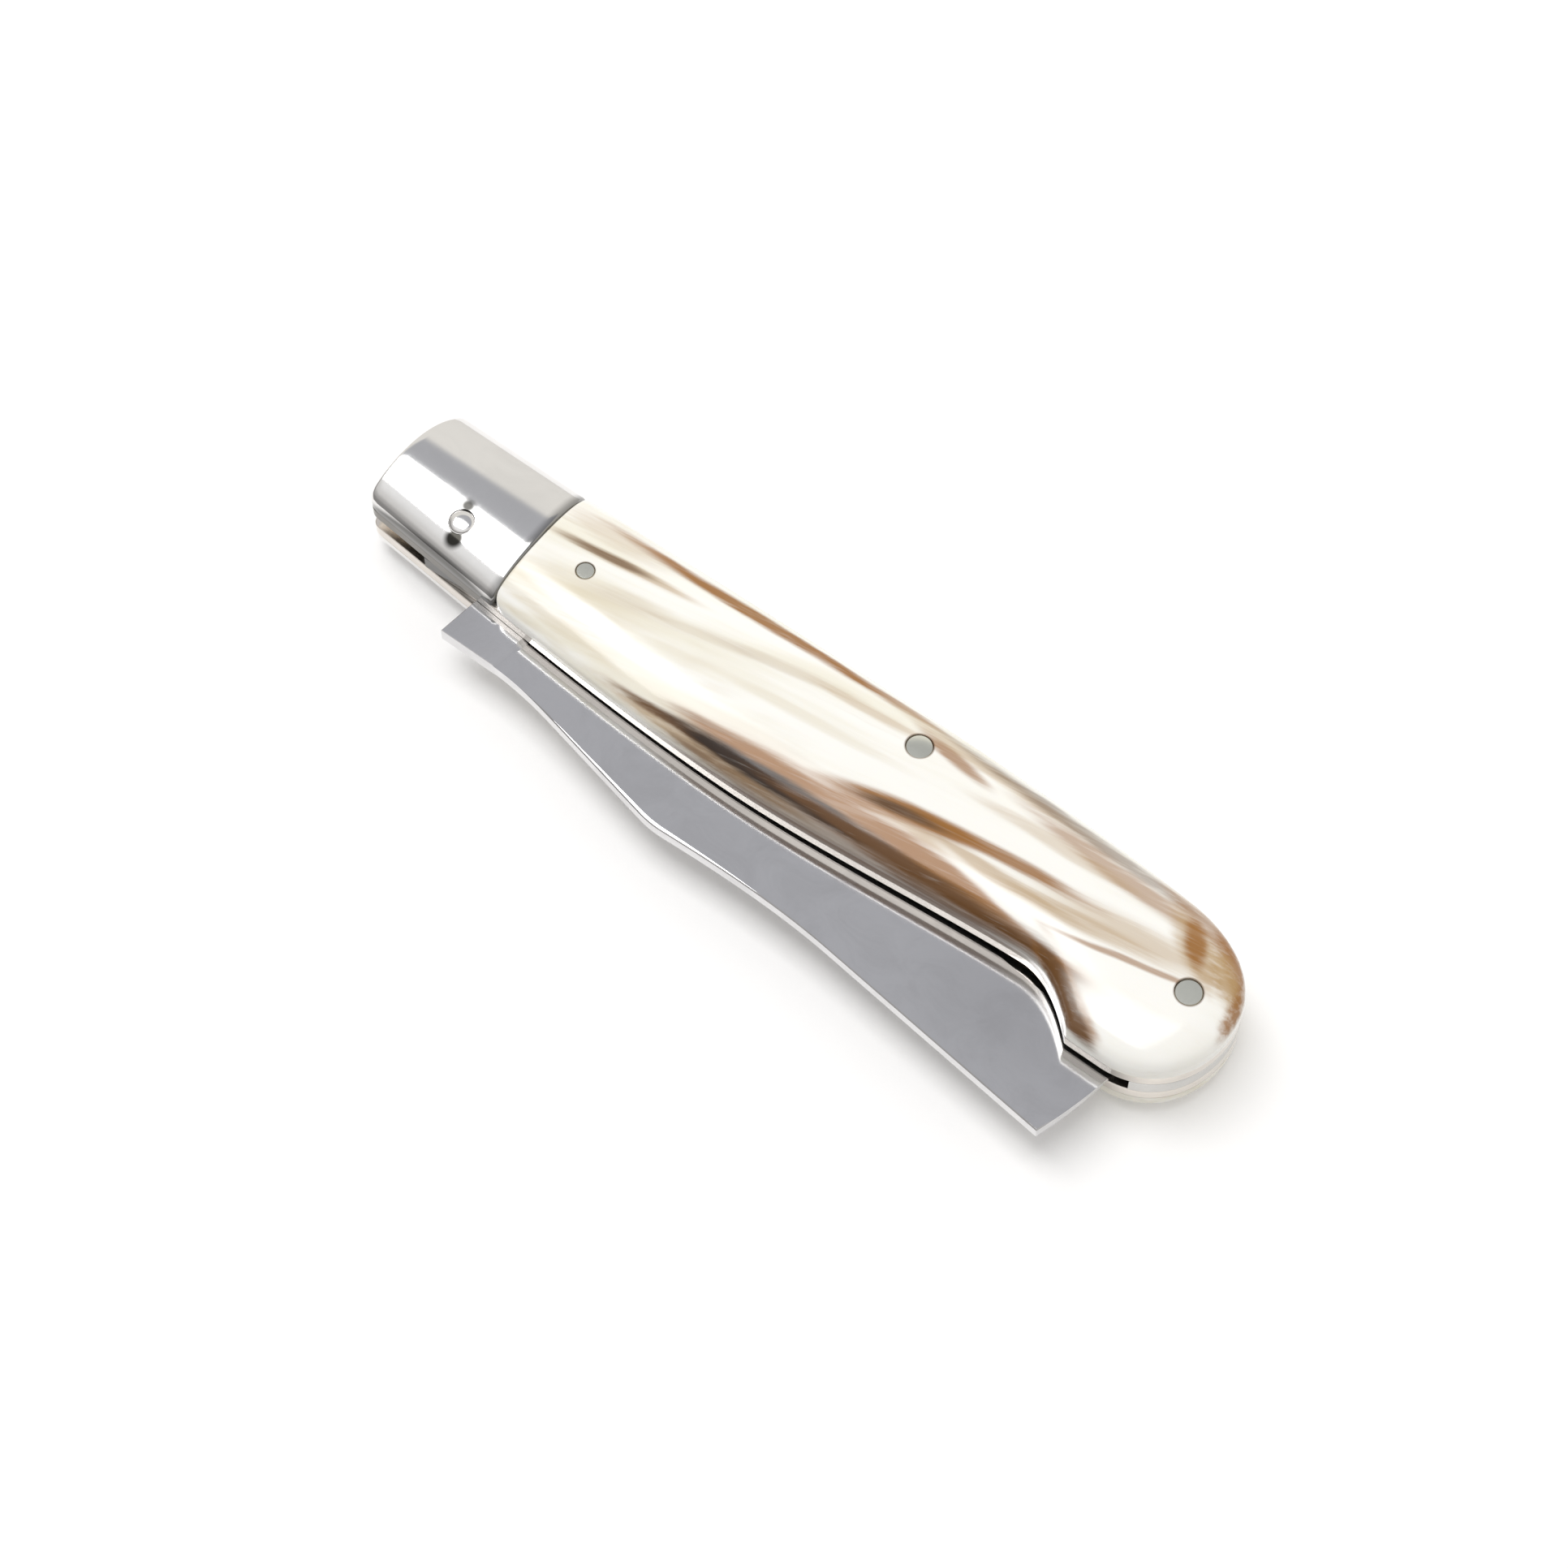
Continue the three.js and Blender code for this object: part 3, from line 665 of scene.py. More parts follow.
def dome(shape, spots, crown, ridge, end_line, fade_length, with_butt):
    """Points and faces of a closed solid between the liner and the domed outside."""
    points, faces, grid = [], [], []
    start = spots[0][0]
    for x, depth in spots:
        fade = max(1 - (x - start) / fade_length, 0.0)
        row = dome_row(shape, x, depth, crown, ridge, end_line, fade)
        grid.append(list(range(len(points), len(points) + len(row))))
        points += row
    for low, high in zip(grid, grid[1:]):
        for i in range(len(low) - 1):
            faces.append([low[i], low[i + 1], high[i + 1], high[i]])
    last = grid[-1]
    rim = [row[0] for row in grid]
    if with_butt:
        foot = Vector((shape.turn_at, ridge))
        middle = last[DOME_ROWS]
        spokes = [last[: DOME_ROWS + 1]]
        for p in shape.edge:
            if p.x > shape.turn_at + WELD:
                spoke = list(range(len(points), len(points) + DOME_ROWS))
                points += [shape.on_dome(foot, p, row, crown, 0.0) for row in range(DOME_ROWS)]
                spokes.append(spoke + [middle])
                rim.append(spoke[0])
        spokes.append(last[: DOME_ROWS - 1 : -1])
        for a, b in zip(spokes, spokes[1:]):
            for i in range(DOME_ROWS - 1):
                faces.append([a[i], b[i], b[i + 1], a[i + 1]])
            faces.append([a[-2], b[-2], middle])
    else:
        rim += last[1:-1]
    rim += [row[-1] for row in reversed(grid)]
    rim += grid[0][-2:0:-1]
    base = list(range(len(points), len(points) + len(rim)))
    points += [Vector((points[i].x, points[i].y, shape.liner_high)) for i in rim]
    for i in range(len(rim)):
        j = (i + 1) % len(rim)
        faces.append([rim[i], rim[j], base[j], base[i]])
    faces.append(base)
    return points, faces


def scale_dome(shape):
    sizes = shape.sizes
    start = sizes.joint_at + sizes.joint_gap
    hook_from = sizes.butt_reach - sizes.hook_length - sizes.notch_run
    spots = stations(
        start, shape.turn_at, sizes.joint_rounding, STATION_GAP, hook_from=hook_from
    )
    fade = sizes.scale_corner * CORNER_FADE
    return dome(shape, spots, shape.stack, sizes.ridge, shape.joint_line(), fade, True)


def bolster_dome(shape):
    sizes = shape.sizes
    start, end = -sizes.nose_reach, sizes.joint_at
    crown = shape.stack - sizes.bolster_relief
    spots = stations(
        start, end, sizes.nose_rounding, BOLSTER_STATION_GAP, sizes.bolster_rounding
    )
    return dome(shape, spots, crown, sizes.bolster_ridge, shape.nose_line, end - start, False)


class Surface:
    """A piece's triangles before it is cut, with the smooth normals at their corners."""

    def __init__(self, piece):
        mesh = piece.data
        mesh.calc_loop_triangles()
        triangles = mesh.loop_triangles
        corners = [tuple(t.vertices) for t in triangles]
        self.tree = BVHTree.FromPolygons([v.co for v in mesh.vertices], corners)
        self.places = [[mesh.vertices[i].co.copy() for i in t.vertices] for t in triangles]
        self.normals = [[mesh.corner_normals[i].vector.copy() for i in t.loops] for t in triangles]

    def met_from(self, start):
        """Spot and normal where an upright line from a start outside meets the surface."""
        onward = Vector((0.0, 0.0, math.copysign(1.0, PIVOT.z - start.z)))
        return self.tree.ray_cast(start, onward)[:2]

    def reshade(self, piece):
        """Gives what a cut has left of the surface the normals it had before the cut."""
        mesh = piece.data
        new = [n.vector.copy() for n in mesh.corner_normals]
        for face in mesh.polygons:
            _, facing, _, distance = self.tree.find_nearest(face.center)
            if distance > ON_SURFACE or facing.dot(face.normal) < math.cos(SHARP):
                continue
            for i in face.loop_indices:
                corner = mesh.vertices[mesh.loops[i].vertex_index].co
                spot, facing, index, _ = self.tree.find_nearest(corner)
                if facing.dot(face.normal) > math.cos(CREASE):
                    bent = barycentric_transform(spot, *self.places[index], *self.normals[index])
                    new[i] = bent.normalized()
        mesh.normals_split_custom_set(new)


def joined_up(piece, body, finish, node):
    """Gives a piece its finish and body, and lets it stand for its node."""
    piece.data.materials.clear()
    piece.data.materials.append(finish)
    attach(piece, body)
    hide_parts(node)


# Node trees, with the places of a Mix node's colour sockets

MIX_FIRST = 6
MIX_SECOND = 7
MIX_RESULT = 2


class Nodes:
    """Node tree, with short ways to add its nodes."""

    def __init__(self, tree):
        self.tree = tree

    def feed(self, socket, value):
        """Links a socket to another one, or sets its value."""
        if isinstance(value, bpy.types.NodeSocket):
            self.tree.links.new(value, socket)
        else:
            socket.default_value = value

    def add(self, kind, sockets=None, **settings):
        """Adds a node with its settings, and with what its sockets hold or are fed by."""
        node = self.tree.nodes.new(kind)
        for key, value in settings.items():
            setattr(node, key, value)
        for socket, value in (sockets or {}).items():
            self.feed(node.inputs[socket], value)
        return node

    def between(self, value, low, high, to_low=0.0, to_high=1.0):
        """Goes smoothly from to_low to to_high as the value goes from low to high."""
        sockets = {
            "Value": value,
            "From Min": low,
            "From Max": high,
            "To Min": to_low,
            "To Max": to_high,
        }
        node = self.add("ShaderNodeMapRange", sockets, interpolation_type="SMOOTHSTEP")
        return node.outputs["Result"]

    def maths(self, operation, first, second):
        node = self.add("ShaderNodeMath", {0: first, 1: second}, operation=operation)
        return node.outputs["Value"]

    def mixed(self, part, first, second):
        sockets = {"Factor": part, MIX_FIRST: first, MIX_SECOND: second}
        return self.add("ShaderNodeMix", sockets, data_type="RGBA").outputs[MIX_RESULT]


# Finishes


class Finish(Nodes):
    """Material of one finish, drawn in the knife's own space."""

    def __init__(self, name):
        self.material = bpy.data.materials.new(name)
        self.material.use_nodes = True
        super().__init__(self.material.node_tree)
        self.shader = self.tree.nodes["Principled BSDF"]
        self.place = self.add("ShaderNodeTexCoord").outputs["Object"]

    def shade(self, sockets):
        """Sets or feeds sockets of the shader."""
        for socket, value in sockets.items():
            self.feed(self.shader.inputs[socket], value)

    def noise(self, features, detail, roughness=0.5, distortion=0.0, source=None, kind="Fac"):
        """Noise with a number of features to the metre along each axis."""
        stretch = {"Vector": source or self.place, "Scale": features}
        sockets = {
            "Vector": self.add("ShaderNodeMapping", stretch).outputs["Vector"],
            "Scale": 1.0,
            "Detail": detail,
            "Roughness": roughness,
            "Distortion": distortion,
        }
        return self.add("ShaderNodeTexNoise", sockets).outputs[kind]

    def near(self, source, ball):
        """1 deep inside a ball, falling to 0 at its skin."""
        sockets = {
            "Vector": source,
            "Location": ball.centre,
            "Rotation": ball.turned_by,
            "Scale": ball.reach,
        }
        spot = self.add("ShaderNodeMapping", sockets, vector_type="TEXTURE").outputs["Vector"]
        away = self.add("ShaderNodeVectorMath", {0: spot}, operation="LENGTH").outputs["Value"]
        return self.between(away, 1.0, ball.inside)

    def tinted(self, body, ball, tone):
        """Body with a tone laid over it inside a ball."""
        part = self.maths("MULTIPLY", self.near(self.place, ball), ball.weight)
        return self.mixed(part, body, rgba(tone))

    def bump(self, height, depth):
        node = self.add("ShaderNodeBump", {"Distance": depth, "Height": height})
        self.shade({"Normal": node.outputs["Normal"]})


def rgba(tone):
    return (*tone, 1.0)


class Ball:
    """Flattened ball in which a finish changes, with its middle measured from the pivot and
    the table. It is full within a share of its reach, and fades out towards its skin."""

    turned_by = (0.0, 0.0, 0.0)

    def __init__(self, centre, reach, weight, inside, unit=MM):
        """The centre and the reach are in millimetres unless the unit says otherwise."""
        x, y, z = centre
        self.centre = (PIVOT.x + x * unit, PIVOT.y + y * unit, z * unit)
        self.reach = [half * unit for half in reach]
        self.weight = weight
        self.inside = inside


class Streak(Ball):
    """Coloured layer that the horn's surface cuts through, placed in the plan with its half
    length, its half width and its heading. Some ivory streaks are painted highlights rather than
    layers."""

    def __init__(self, x, y, run, width, heading, tone, weight, inside=0.1, depth=0.9):
        reach = [half * LAYER_SPREAD for half in (run, width, depth)]
        super().__init__((x, y, 0.0), reach, weight, inside)
        self.heading = math.radians(heading)
        self.tone = tone

    def lay(self, surface, outside):
        """Puts the layer's middle on the surface, seen from a height outside it, and tilts the
        layer so."""
        self.centre, facing = surface.met_from(Vector((*self.centre[:2], outside)))
        facing = Matrix.Rotation(-self.heading, 3, "Z") @ facing
        self.turned_by = (math.atan2(-facing.y, facing.z), 0.0, self.heading)


# Steels, and the painted shade and painted dark reflections laid on them


class Steel(NamedTuple):
    """How a steel is finished: its colour, its roughness, its grinding lines to the metre and
    their depth in millimetres, how much smudges darken it, and the balls of painted shade and
    painted dark reflections that darken it."""

    colour: str
    roughness: float
    lines: tuple
    depth: float
    stain: float
    painted_shade: tuple = ()


# Painted shade and painted reflections on the bolster: dark along the joint, along its lower edge by
# the belly, and two dark patches beside the pivot head for its shadow and its reflection
BOLSTER_PAINTED_SHADE = (
    Ball((8.45, 3, 9), (1.6, 40, 40), 0.65, 0.15),
    Ball((-2, -4.4, 8.6), (15, 3.0, 2.1), 0.8, 0.7),
    Ball((0.5, -1.9, 11.2), (1.5, 1.5, 2.5), 1.0, 0.45),
    Ball((-0.6, 1.9, 12.1), (1.3, 1.2, 2), 0.97, 0.3),
)
# Painted shade on the liners' edges by the bolster, along the belly and at the notch and hook, so
# that they and their mirror image in the blade read dark
LINER_PAINTED_SHADE = (
    Ball((-3, -4.2, 8.0), (13, 2.6, 2.3), 0.8, 0.8),
    Ball((28, -6, 8), (20, 3, 2), 0.15, 0.7),
    Ball((84.8, -6.2, 8), (4.8, 4, 3), 0.75, 0.6),
    Ball((90, -8, 8), (9, 6, 3), 0.4, 0.4),
)
# Painted shade and painted dark reflections on the blade: under the bolster's belly edge, and
# faintly at the heel and near the square end under the handle
BLADE_PAINTED_SHADE = (
    Ball((0, -4.2, 6.3), (6, 1.5, 3), 0.85, 0.5),
    Ball((5, -9, 7), (9, 6, 3), 0.1, 0.1),
    Ball((82, -9, 7), (18, 10, 3), 0.1, 0.1),
)
STEELS = {
    "bolster_steel": Steel("bolster", 0.09, (2600, 300, 2600), 0.0002, 0.06, BOLSTER_PAINTED_SHADE),
    "liner_steel": Steel("liner", 0.2, (900, 900, 2600), 0.001, 0.1, LINER_PAINTED_SHADE),
    "spring_steel": Steel("spring", 0.24, (300, 2200, 2200), 0.0012, 0.12),
    "blade_steel": Steel("blade", 0.12, (5200, 90, 5200), 0.00005, 0.12, BLADE_PAINTED_SHADE),
    "pin_steel": Steel("bolster", 0.1, (700, 700, 700), 0.002, 0.08),
    "rivet_steel": Steel("rivet", 0.16, (3600, 500, 900), 0.001, 0.14),
}
SMUDGES = (140, 190, 190)
SMUDGE_FADE = (0.35, 0.75)
DULLING = 0.3


def steel_finish(name, colours):
    """Steel with grinding or polishing lines, soft smudges, a slightly uneven tone and painted shade
    inside its balls.
    """
    steel, finish = STEELS[name], Finish(name)
    tone = getattr(colours, steel.colour)
    lines = finish.noise(steel.lines, detail=6.0, roughness=0.65)
    smudges = finish.noise(SMUDGES, detail=5.0, roughness=0.6, distortion=1.0)
    dulled = finish.between(smudges, *SMUDGE_FADE)
    dark = rgba([channel * (1 - steel.stain) for channel in tone])
    body = finish.mixed(dulled, rgba(tone), dark)
    # painted shade and painted dark reflections laid over the steel inside each ball
    for ball in steel.painted_shade:
        body = finish.tinted(body, ball, colours.painted_shade)
    uneven = finish.maths("ADD", dulled, lines)
    rough = finish.maths("MULTIPLY", uneven, steel.roughness * DULLING)
    rough = finish.maths("ADD", rough, steel.roughness * (1 - DULLING))
    finish.shade({"Base Color": body, "Roughness": rough, "Metallic": 1.0})
    finish.bump(lines, steel.depth * MM)
    return finish.material


# Horn: its layers, its drift and fibres, its wear, and the painted shade along its lower edge and
# round its rivets


class Grain(NamedTuple):
    """Layers or fibres of one colour in the horn: features to the metre along each axis, detail
    and roughness of their noise, the noise between which they fade in, and their strength."""

    colour: str
    features: tuple
    detail: float
    roughness: float
    low: float
    high: float
    strength: float


LAYERS = (
    Grain("ivory_and_highlight", (22, 330, 420), 3.0, 0.5, 0.4, 0.66, 1.0),
    Grain("straw", (30, 160, 300), 4.0, 0.55, 0.52, 0.72, 0.65),
    Grain("smoke", (34, 620, 700), 4.0, 0.6, 0.6, 0.78, 0.35),
)
HAIRS = Grain("ivory_and_highlight", (60, 2600, 2600), 4.0, 0.6, 0.55, 0.75, 0.1)
DRIFT = (24, 70, 110)
DRIFT_MIDDLE = (0.5, 0.5, 0.5)
DRIFT_REACH = (6 * MM, 2.2 * MM, 0.8 * MM)
GRAIN_TURN = (0.0, 0.0, math.radians(-9))
FIBRES = (70, 1500, 1900)
FIBRE_DEPTH = 0.004 * MM
TORN_EDGES = (0.34, 0.66, 0.72, 1.16)
STREAK_FADE = (0.02, 0.9)
LAYER_SPREAD = 1.9
WEAR = (160, 240, 240)
WEAR_GLOSS = (0.3, 0.8, 0.1, 0.2)
HORN_BODY = {
    "IOR": 1.44,
    "Subsurface Weight": 0.05,
    "Subsurface Radius": (1.0, 0.8, 0.5),
    "Subsurface Scale": 0.8 * MM,
}
# Painted shade: a dark ring in the horn round each rivet, where the gap to the rivet is shaded
SHADE_RING_SPREAD = 1.16
SHADE_RING_HEIGHT = 1.0
RIVET_SHADE_RING = {"weight": 0.6, "inside": 0.9, "unit": METRE}
# Partly the horn's brown belly edge, partly painted shade: darkens the horn's lower edge and rim
# wall next to the liner, so that edge and its mirror image in the blade read dark
UPPER_RIM_SHADE = Ball((60, -6, 9.1), (34, 3.6, 1.0), 0.85, 0.65)
LOWER_RIM_SHADE = Ball((52, -6, 3.5), (34, 3.6, 1.0), 0.85, 0.65)
UPPER_STREAKS = [
    Streak(16, 0.8, 8, 1.8, 10, "straw", 0.4),
    Streak(82, 1, 26, 8, 0, "ivory_and_highlight", 0.8, 0.5, 5),
    Streak(62, 3.6, 28, 1.8, 4, "ivory_and_highlight", 0.6),
    # painted highlight: ivory streak along the softbox's reflection on the belly shoulder
    Streak(52, -1, 22, 1.6, 5, "ivory_and_highlight", 0.6),
    Streak(24, -3.0, 14, 1.6, -3, "straw", 0.2),
    Streak(17, -3.6, 6, 0.7, -3, "straw", 0.5),
    # painted highlight: ivory streak standing for the softbox's reflection near the joint
    Streak(20, -1.1, 9, 0.8, -4, "ivory_and_highlight", 0.9, 0.3),
    Streak(42, -1.6, 8, 0.6, 5, "smoke", 0.3),
    Streak(25, 8.3, 7, 0.9, 3, "ivory_and_highlight", 0.8),
    Streak(80, 5.4, 9, 0.9, 3, "ivory_and_highlight", 0.9),
    Streak(14.5, 8.8, 6, 1.2, 3, "tan", 0.35),
    Streak(21, 2.9, 4, 0.9, 12, "smoke", 0.35),
    Streak(29, 4.2, 6, 0.7, 12, "smoke", 0.35),
    Streak(39, 6.6, 8, 0.6, 11, "smoke", 0.45),
    Streak(50, 8.2, 7, 0.5, 7, "tan", 0.45),
    Streak(45, 3.2, 10, 0.6, 7, "straw", 0.35),
    Streak(21, 9.8, 7, 0.6, 1, "amber", 0.5),
    Streak(34, 10.3, 13, 0.65, 1.2, "amber", 0.95, 0.25),
    Streak(49, 10.9, 8, 0.5, 3, "amber", 0.7),
    Streak(17, 6.3, 8, 0.6, 7, "tan", 0.6),
    Streak(14.8, 6.1, 5, 0.5, 8, "umber_and_shade", 0.75),
    Streak(60, 9.2, 4, 0.75, -8, "amber", 0.8),
    Streak(66, 10.4, 12, 0.7, -1, "tan", 0.55),
    Streak(76, 10.6, 15, 0.8, -2, "umber_and_shade", 0.6),
    Streak(84, 8.6, 12, 1.0, -2, "amber", 0.65),
    Streak(75, 7.4, 9, 0.7, 4, "tan", 0.4),
    Streak(87, 3.6, 10, 1.5, 7, "tan", 0.5),
    Streak(82, 1.6, 8, 0.9, 9, "tan", 0.4),
    Streak(88.5, 1.0, 7, 0.35, 13, "amber", 0.7),
    Streak(93, 6.7, 4.5, 1.5, -40, "tan", 0.7),
    Streak(92.8, 7.2, 2.4, 0.9, -55, "amber", 0.95, 0.2),
    Streak(93, 9.6, 6, 1.1, -14, "amber", 0.6),
    Streak(97.6, 7.2, 6, 1.3, -42, "amber", 0.9),
    Streak(98.0, 5.2, 4, 1.3, -35, "tan", 0.85),
    Streak(100.6, 2.5, 5.5, 1.1, -75, "amber", 0.9),
    Streak(68, 0, 13, 0.8, 5, "tan", 0.65),
    Streak(60, 0.4, 8, 1.0, 11, "amber", 0.95, 0.3),
    Streak(60, 0.4, 5.5, 0.55, 11, "dark", 0.7),
    Streak(71.5, 2.6, 9, 0.7, 7.5, "amber", 0.9),
    Streak(41.4, -3.4, 8, 0.5, 4, "umber_and_shade", 0.8),
    Streak(56, -3.4, 17, 1.5, 2.4, "amber", 0.95, 0.35),
    Streak(74, -3.1, 12, 1.1, -2, "amber", 0.75, 0.35),
    Streak(38, -6.0, 12, 0.9, -0.7, "tan", 0.7),
    Streak(56, -5.7, 17, 1.3, 3.2, "umber_and_shade", 0.7, 0.4, 1.8),
    Streak(74, -4.0, 12, 1.1, 1, "umber_and_shade", 0.7, 0.4, 1.8),
    Streak(36, -5.3, 9, 0.5, 2.4, "umber_and_shade", 0.95),
    Streak(48, -4.6, 12, 0.85, 3, "dark", 0.97, 0.3),
    Streak(58, -4.1, 12, 0.6, 3, "umber_and_shade", 0.9),
    Streak(70, -3.8, 15, 0.5, 0.5, "umber_and_shade", 0.9),
    Streak(86, -5.8, 7, 1.1, -33, "amber", 0.75, 0.3),
    Streak(85.8, -6.1, 6, 0.9, -38, "umber_and_shade", 0.9, 0.3, 1.8),
    # painted highlight: ivory streak along the softbox's reflection on the belly shoulder
    Streak(76.7, -1.7, 9, 0.6, -7, "ivory_and_highlight", 0.85),
    Streak(94, -3.5, 8, 2.6, 10, "ivory_and_highlight", 0.7),
]
LOWER_STREAKS = [
    Streak(48, 4.5, 25, 1.8, 2, "straw", 0.5),
    Streak(30, 7.0, 14, 0.7, 3, "amber", 0.7),
    Streak(24, 7.2, 6, 0.4, 3, "umber_and_shade", 0.8),
    Streak(58, 0.6, 12, 0.7, 5, "amber", 0.85, 0.25),
    Streak(54, 0.4, 7, 0.4, 5, "dark", 0.85),
    Streak(76, 4.2, 9, 1.2, -6, "tan", 0.8, 0.2),
    Streak(80, 4.0, 5, 0.5, -7, "umber_and_shade", 0.8),
    Streak(46, -4.6, 18, 0.9, 1, "amber", 0.8, 0.3),
    Streak(46, -5.4, 16, 0.5, 1, "dark", 0.9),
    Streak(70, 10.6, 18, 0.6, -1, "umber_and_shade", 0.8),
    Streak(93, -2.5, 6, 1.6, 25, "tan", 0.7),
    Streak(98, 3.5, 3, 1.6, 60, "umber_and_shade", 0.8),
    Streak(20, 0.5, 6, 0.5, 7, "smoke", 0.6),
]


def horn_finish(name, colours, streaks, rim, rivets):
    """Polished horn: cream fibres with brown layers that the dome cuts through, painted highlights
    among its ivory streaks, and painted shade along its lower edge and round its rivets.
    """
    finish = Finish(name)
    drift = finish.noise(DRIFT, detail=3.0, kind="Color")
    sockets = {0: drift, 1: DRIFT_MIDDLE}
    away = finish.add("ShaderNodeVectorMath", sockets, operation="SUBTRACT").outputs["Vector"]
    sockets = {0: away, 1: DRIFT_REACH, 2: finish.place}
    flow = finish.add("ShaderNodeVectorMath", sockets, operation="MULTIPLY_ADD").outputs["Vector"]
    sockets = {"Vector": flow, "Rotation": GRAIN_TURN}
    leaning = finish.add("ShaderNodeMapping", sockets).outputs["Vector"]

    def grown(body, grain):
        noise = finish.noise(grain.features, grain.detail, grain.roughness, source=leaning)
        part = finish.between(noise, grain.low, grain.high, 0.0, grain.strength)
        return finish.mixed(part, body, rgba(getattr(colours, grain.colour)))

    body = rgba(colours.cream)
    for grain in LAYERS:
        body = grown(body, grain)
    fibres = finish.noise(FIBRES, detail=5.0, roughness=0.6, source=leaning)
    torn = finish.between(fibres, *TORN_EDGES)
    for streak in streaks:
        part = finish.maths("MULTIPLY", finish.near(flow, streak), torn)
        part = finish.maths("MULTIPLY", finish.between(part, *STREAK_FADE), streak.weight)
        body = finish.mixed(part, body, rgba(getattr(colours, streak.tone)))
    # painted shade: the rim ball darkens the horn's lower edge by the liner, over its brown belly
    # edge
    body = grown(finish.tinted(body, rim, colours.umber_and_shade), HAIRS)
    # painted shade: a dark ring round each rivet
    for place, radius in rivets:
        reach = (radius * SHADE_RING_SPREAD, radius * SHADE_RING_SPREAD, SHADE_RING_HEIGHT)
        body = finish.tinted(body, Ball((*place, 0.0), reach, **RIVET_SHADE_RING), colours.umber_and_shade)
    gloss = finish.between(finish.noise(WEAR, detail=4.0), *WEAR_GLOSS)
    finish.shade({"Base Color": body, "Roughness": gloss, **HORN_BODY})
    finish.bump(fibres, FIBRE_DEPTH)
    return finish.material


# Plan places of the pins


def rivet_places(handle, pins):
    """Place and radius of each rivet."""
    tail_at = handle.butt_reach - pins.tail_inset
    return {
        "front": (Vector((pins.front_at, pins.front_height)), pins.small_rivet_radius),
        "spring": (Vector((pins.spring_at, pins.spring_height)), pins.rivet_radius),
        "tail": (Vector((tail_at, pins.tail_height)), pins.rivet_radius),
    }


# Operators


class KNIFE_OT_scales(Operator):
    """Build the two horn scales: domed grips with a bird's-head butt and a hooked belly"""

    bl_idname = "knife.scales"
    bl_label = "Horn Scales"

    def execute(self, context):
        scene = context.scene
        shape, pins = HandleShape(scene.knife_handle), scene.knife_pins
        rivets = rivet_places(scene.knife_handle, pins).values()
        points, faces = scale_dome(shape)
        for node, solid, streaks, rim, outside in (
            ("top_scale", points, UPPER_STREAKS, UPPER_RIM_SHADE, shape.stack + SPARE),
            ("bottom_scale", mirrored(points, shape), LOWER_STREAKS, LOWER_RIM_SHADE, -SPARE),
        ):
            scale = make_piece("horn_" + node, solid, faces)
            surface = Surface(scale)
            for streak in streaks:
                streak.lay(surface, outside)
            for place, radius in rivets:
                drill(scale, place, radius + pins.rivet_gap, 0.0, shape.stack)
            surface.reshade(scale)
            horn = horn_finish("horn_" + node, scene.knife_colours, streaks, rim, rivets)
            joined_up(scale, HANDLE_BODY, horn, node)
        return {"FINISHED"}


class KNIFE_OT_bolsters(Operator):
    """Build the two polished bolsters, domed and bored for the pivot pin"""

    bl_idname = "knife.bolsters"
    bl_label = "Bolsters"

    def execute(self, context):
        scene = context.scene
        shape = HandleShape(scene.knife_handle)
        radius = scene.knife_pins.pivot_radius + BORE_GAP
        points, faces = bolster_dome(shape)
        steel = steel_finish("bolster_steel", scene.knife_colours)
        for node, solid in (
            ("top_bolster", points),
            ("bottom_bolster", mirrored(points, shape)),
        ):
            bolster = make_piece("polished_" + node, solid, faces)
            surface = Surface(bolster)
            drill(bolster, AT_PIVOT, radius, 0.0, shape.stack)
            surface.reshade(bolster)
            joined_up(bolster, HANDLE_BODY, steel, node)
        return {"FINISHED"}


class KNIFE_OT_liners(Operator):
    """Build the two steel liners that the blade folds between"""

    bl_idname = "knife.liners"
    bl_label = "Liners"

    def execute(self, context):
        scene = context.scene
        shape = HandleShape(scene.knife_handle)
        bevel = even(scene.knife_handle.liner_bevel)
        steel = steel_finish("liner_steel", scene.knife_colours)
        for node, low, high in (
            ("top_liner", shape.gap_high, shape.liner_high),
            ("bottom_liner", shape.liner_low, shape.gap_low),
        ):
            liner = plate("steel_" + node, shape.liner_outline(), low, high, bevel, STEEL_SHARP)
            joined_up(liner, HANDLE_BODY, steel, node)
        return {"FINISHED"}


class KNIFE_OT_spring(Operator):
    """Build the back spring: nose, leaf, boss at the middle rivet and tail in the butt"""

    bl_idname = "knife.spring"
    bl_label = "Back Spring"

    def execute(self, context):
        scene = context.scene
        shape = HandleShape(scene.knife_handle)
        outline = spring_outline(shape, scene.knife_blade, scene.knife_spring, scene.knife_pins)
        bevel = even(scene.knife_handle.liner_bevel)
        low, high = shape.gap_low, shape.gap_high
        spring = plate("ground_back_spring", outline, low, high, bevel, STEEL_SHARP)
        steel = steel_finish("spring_steel", scene.knife_colours)
        joined_up(spring, HANDLE_BODY, steel, "back_spring")
        return {"FINISHED"}


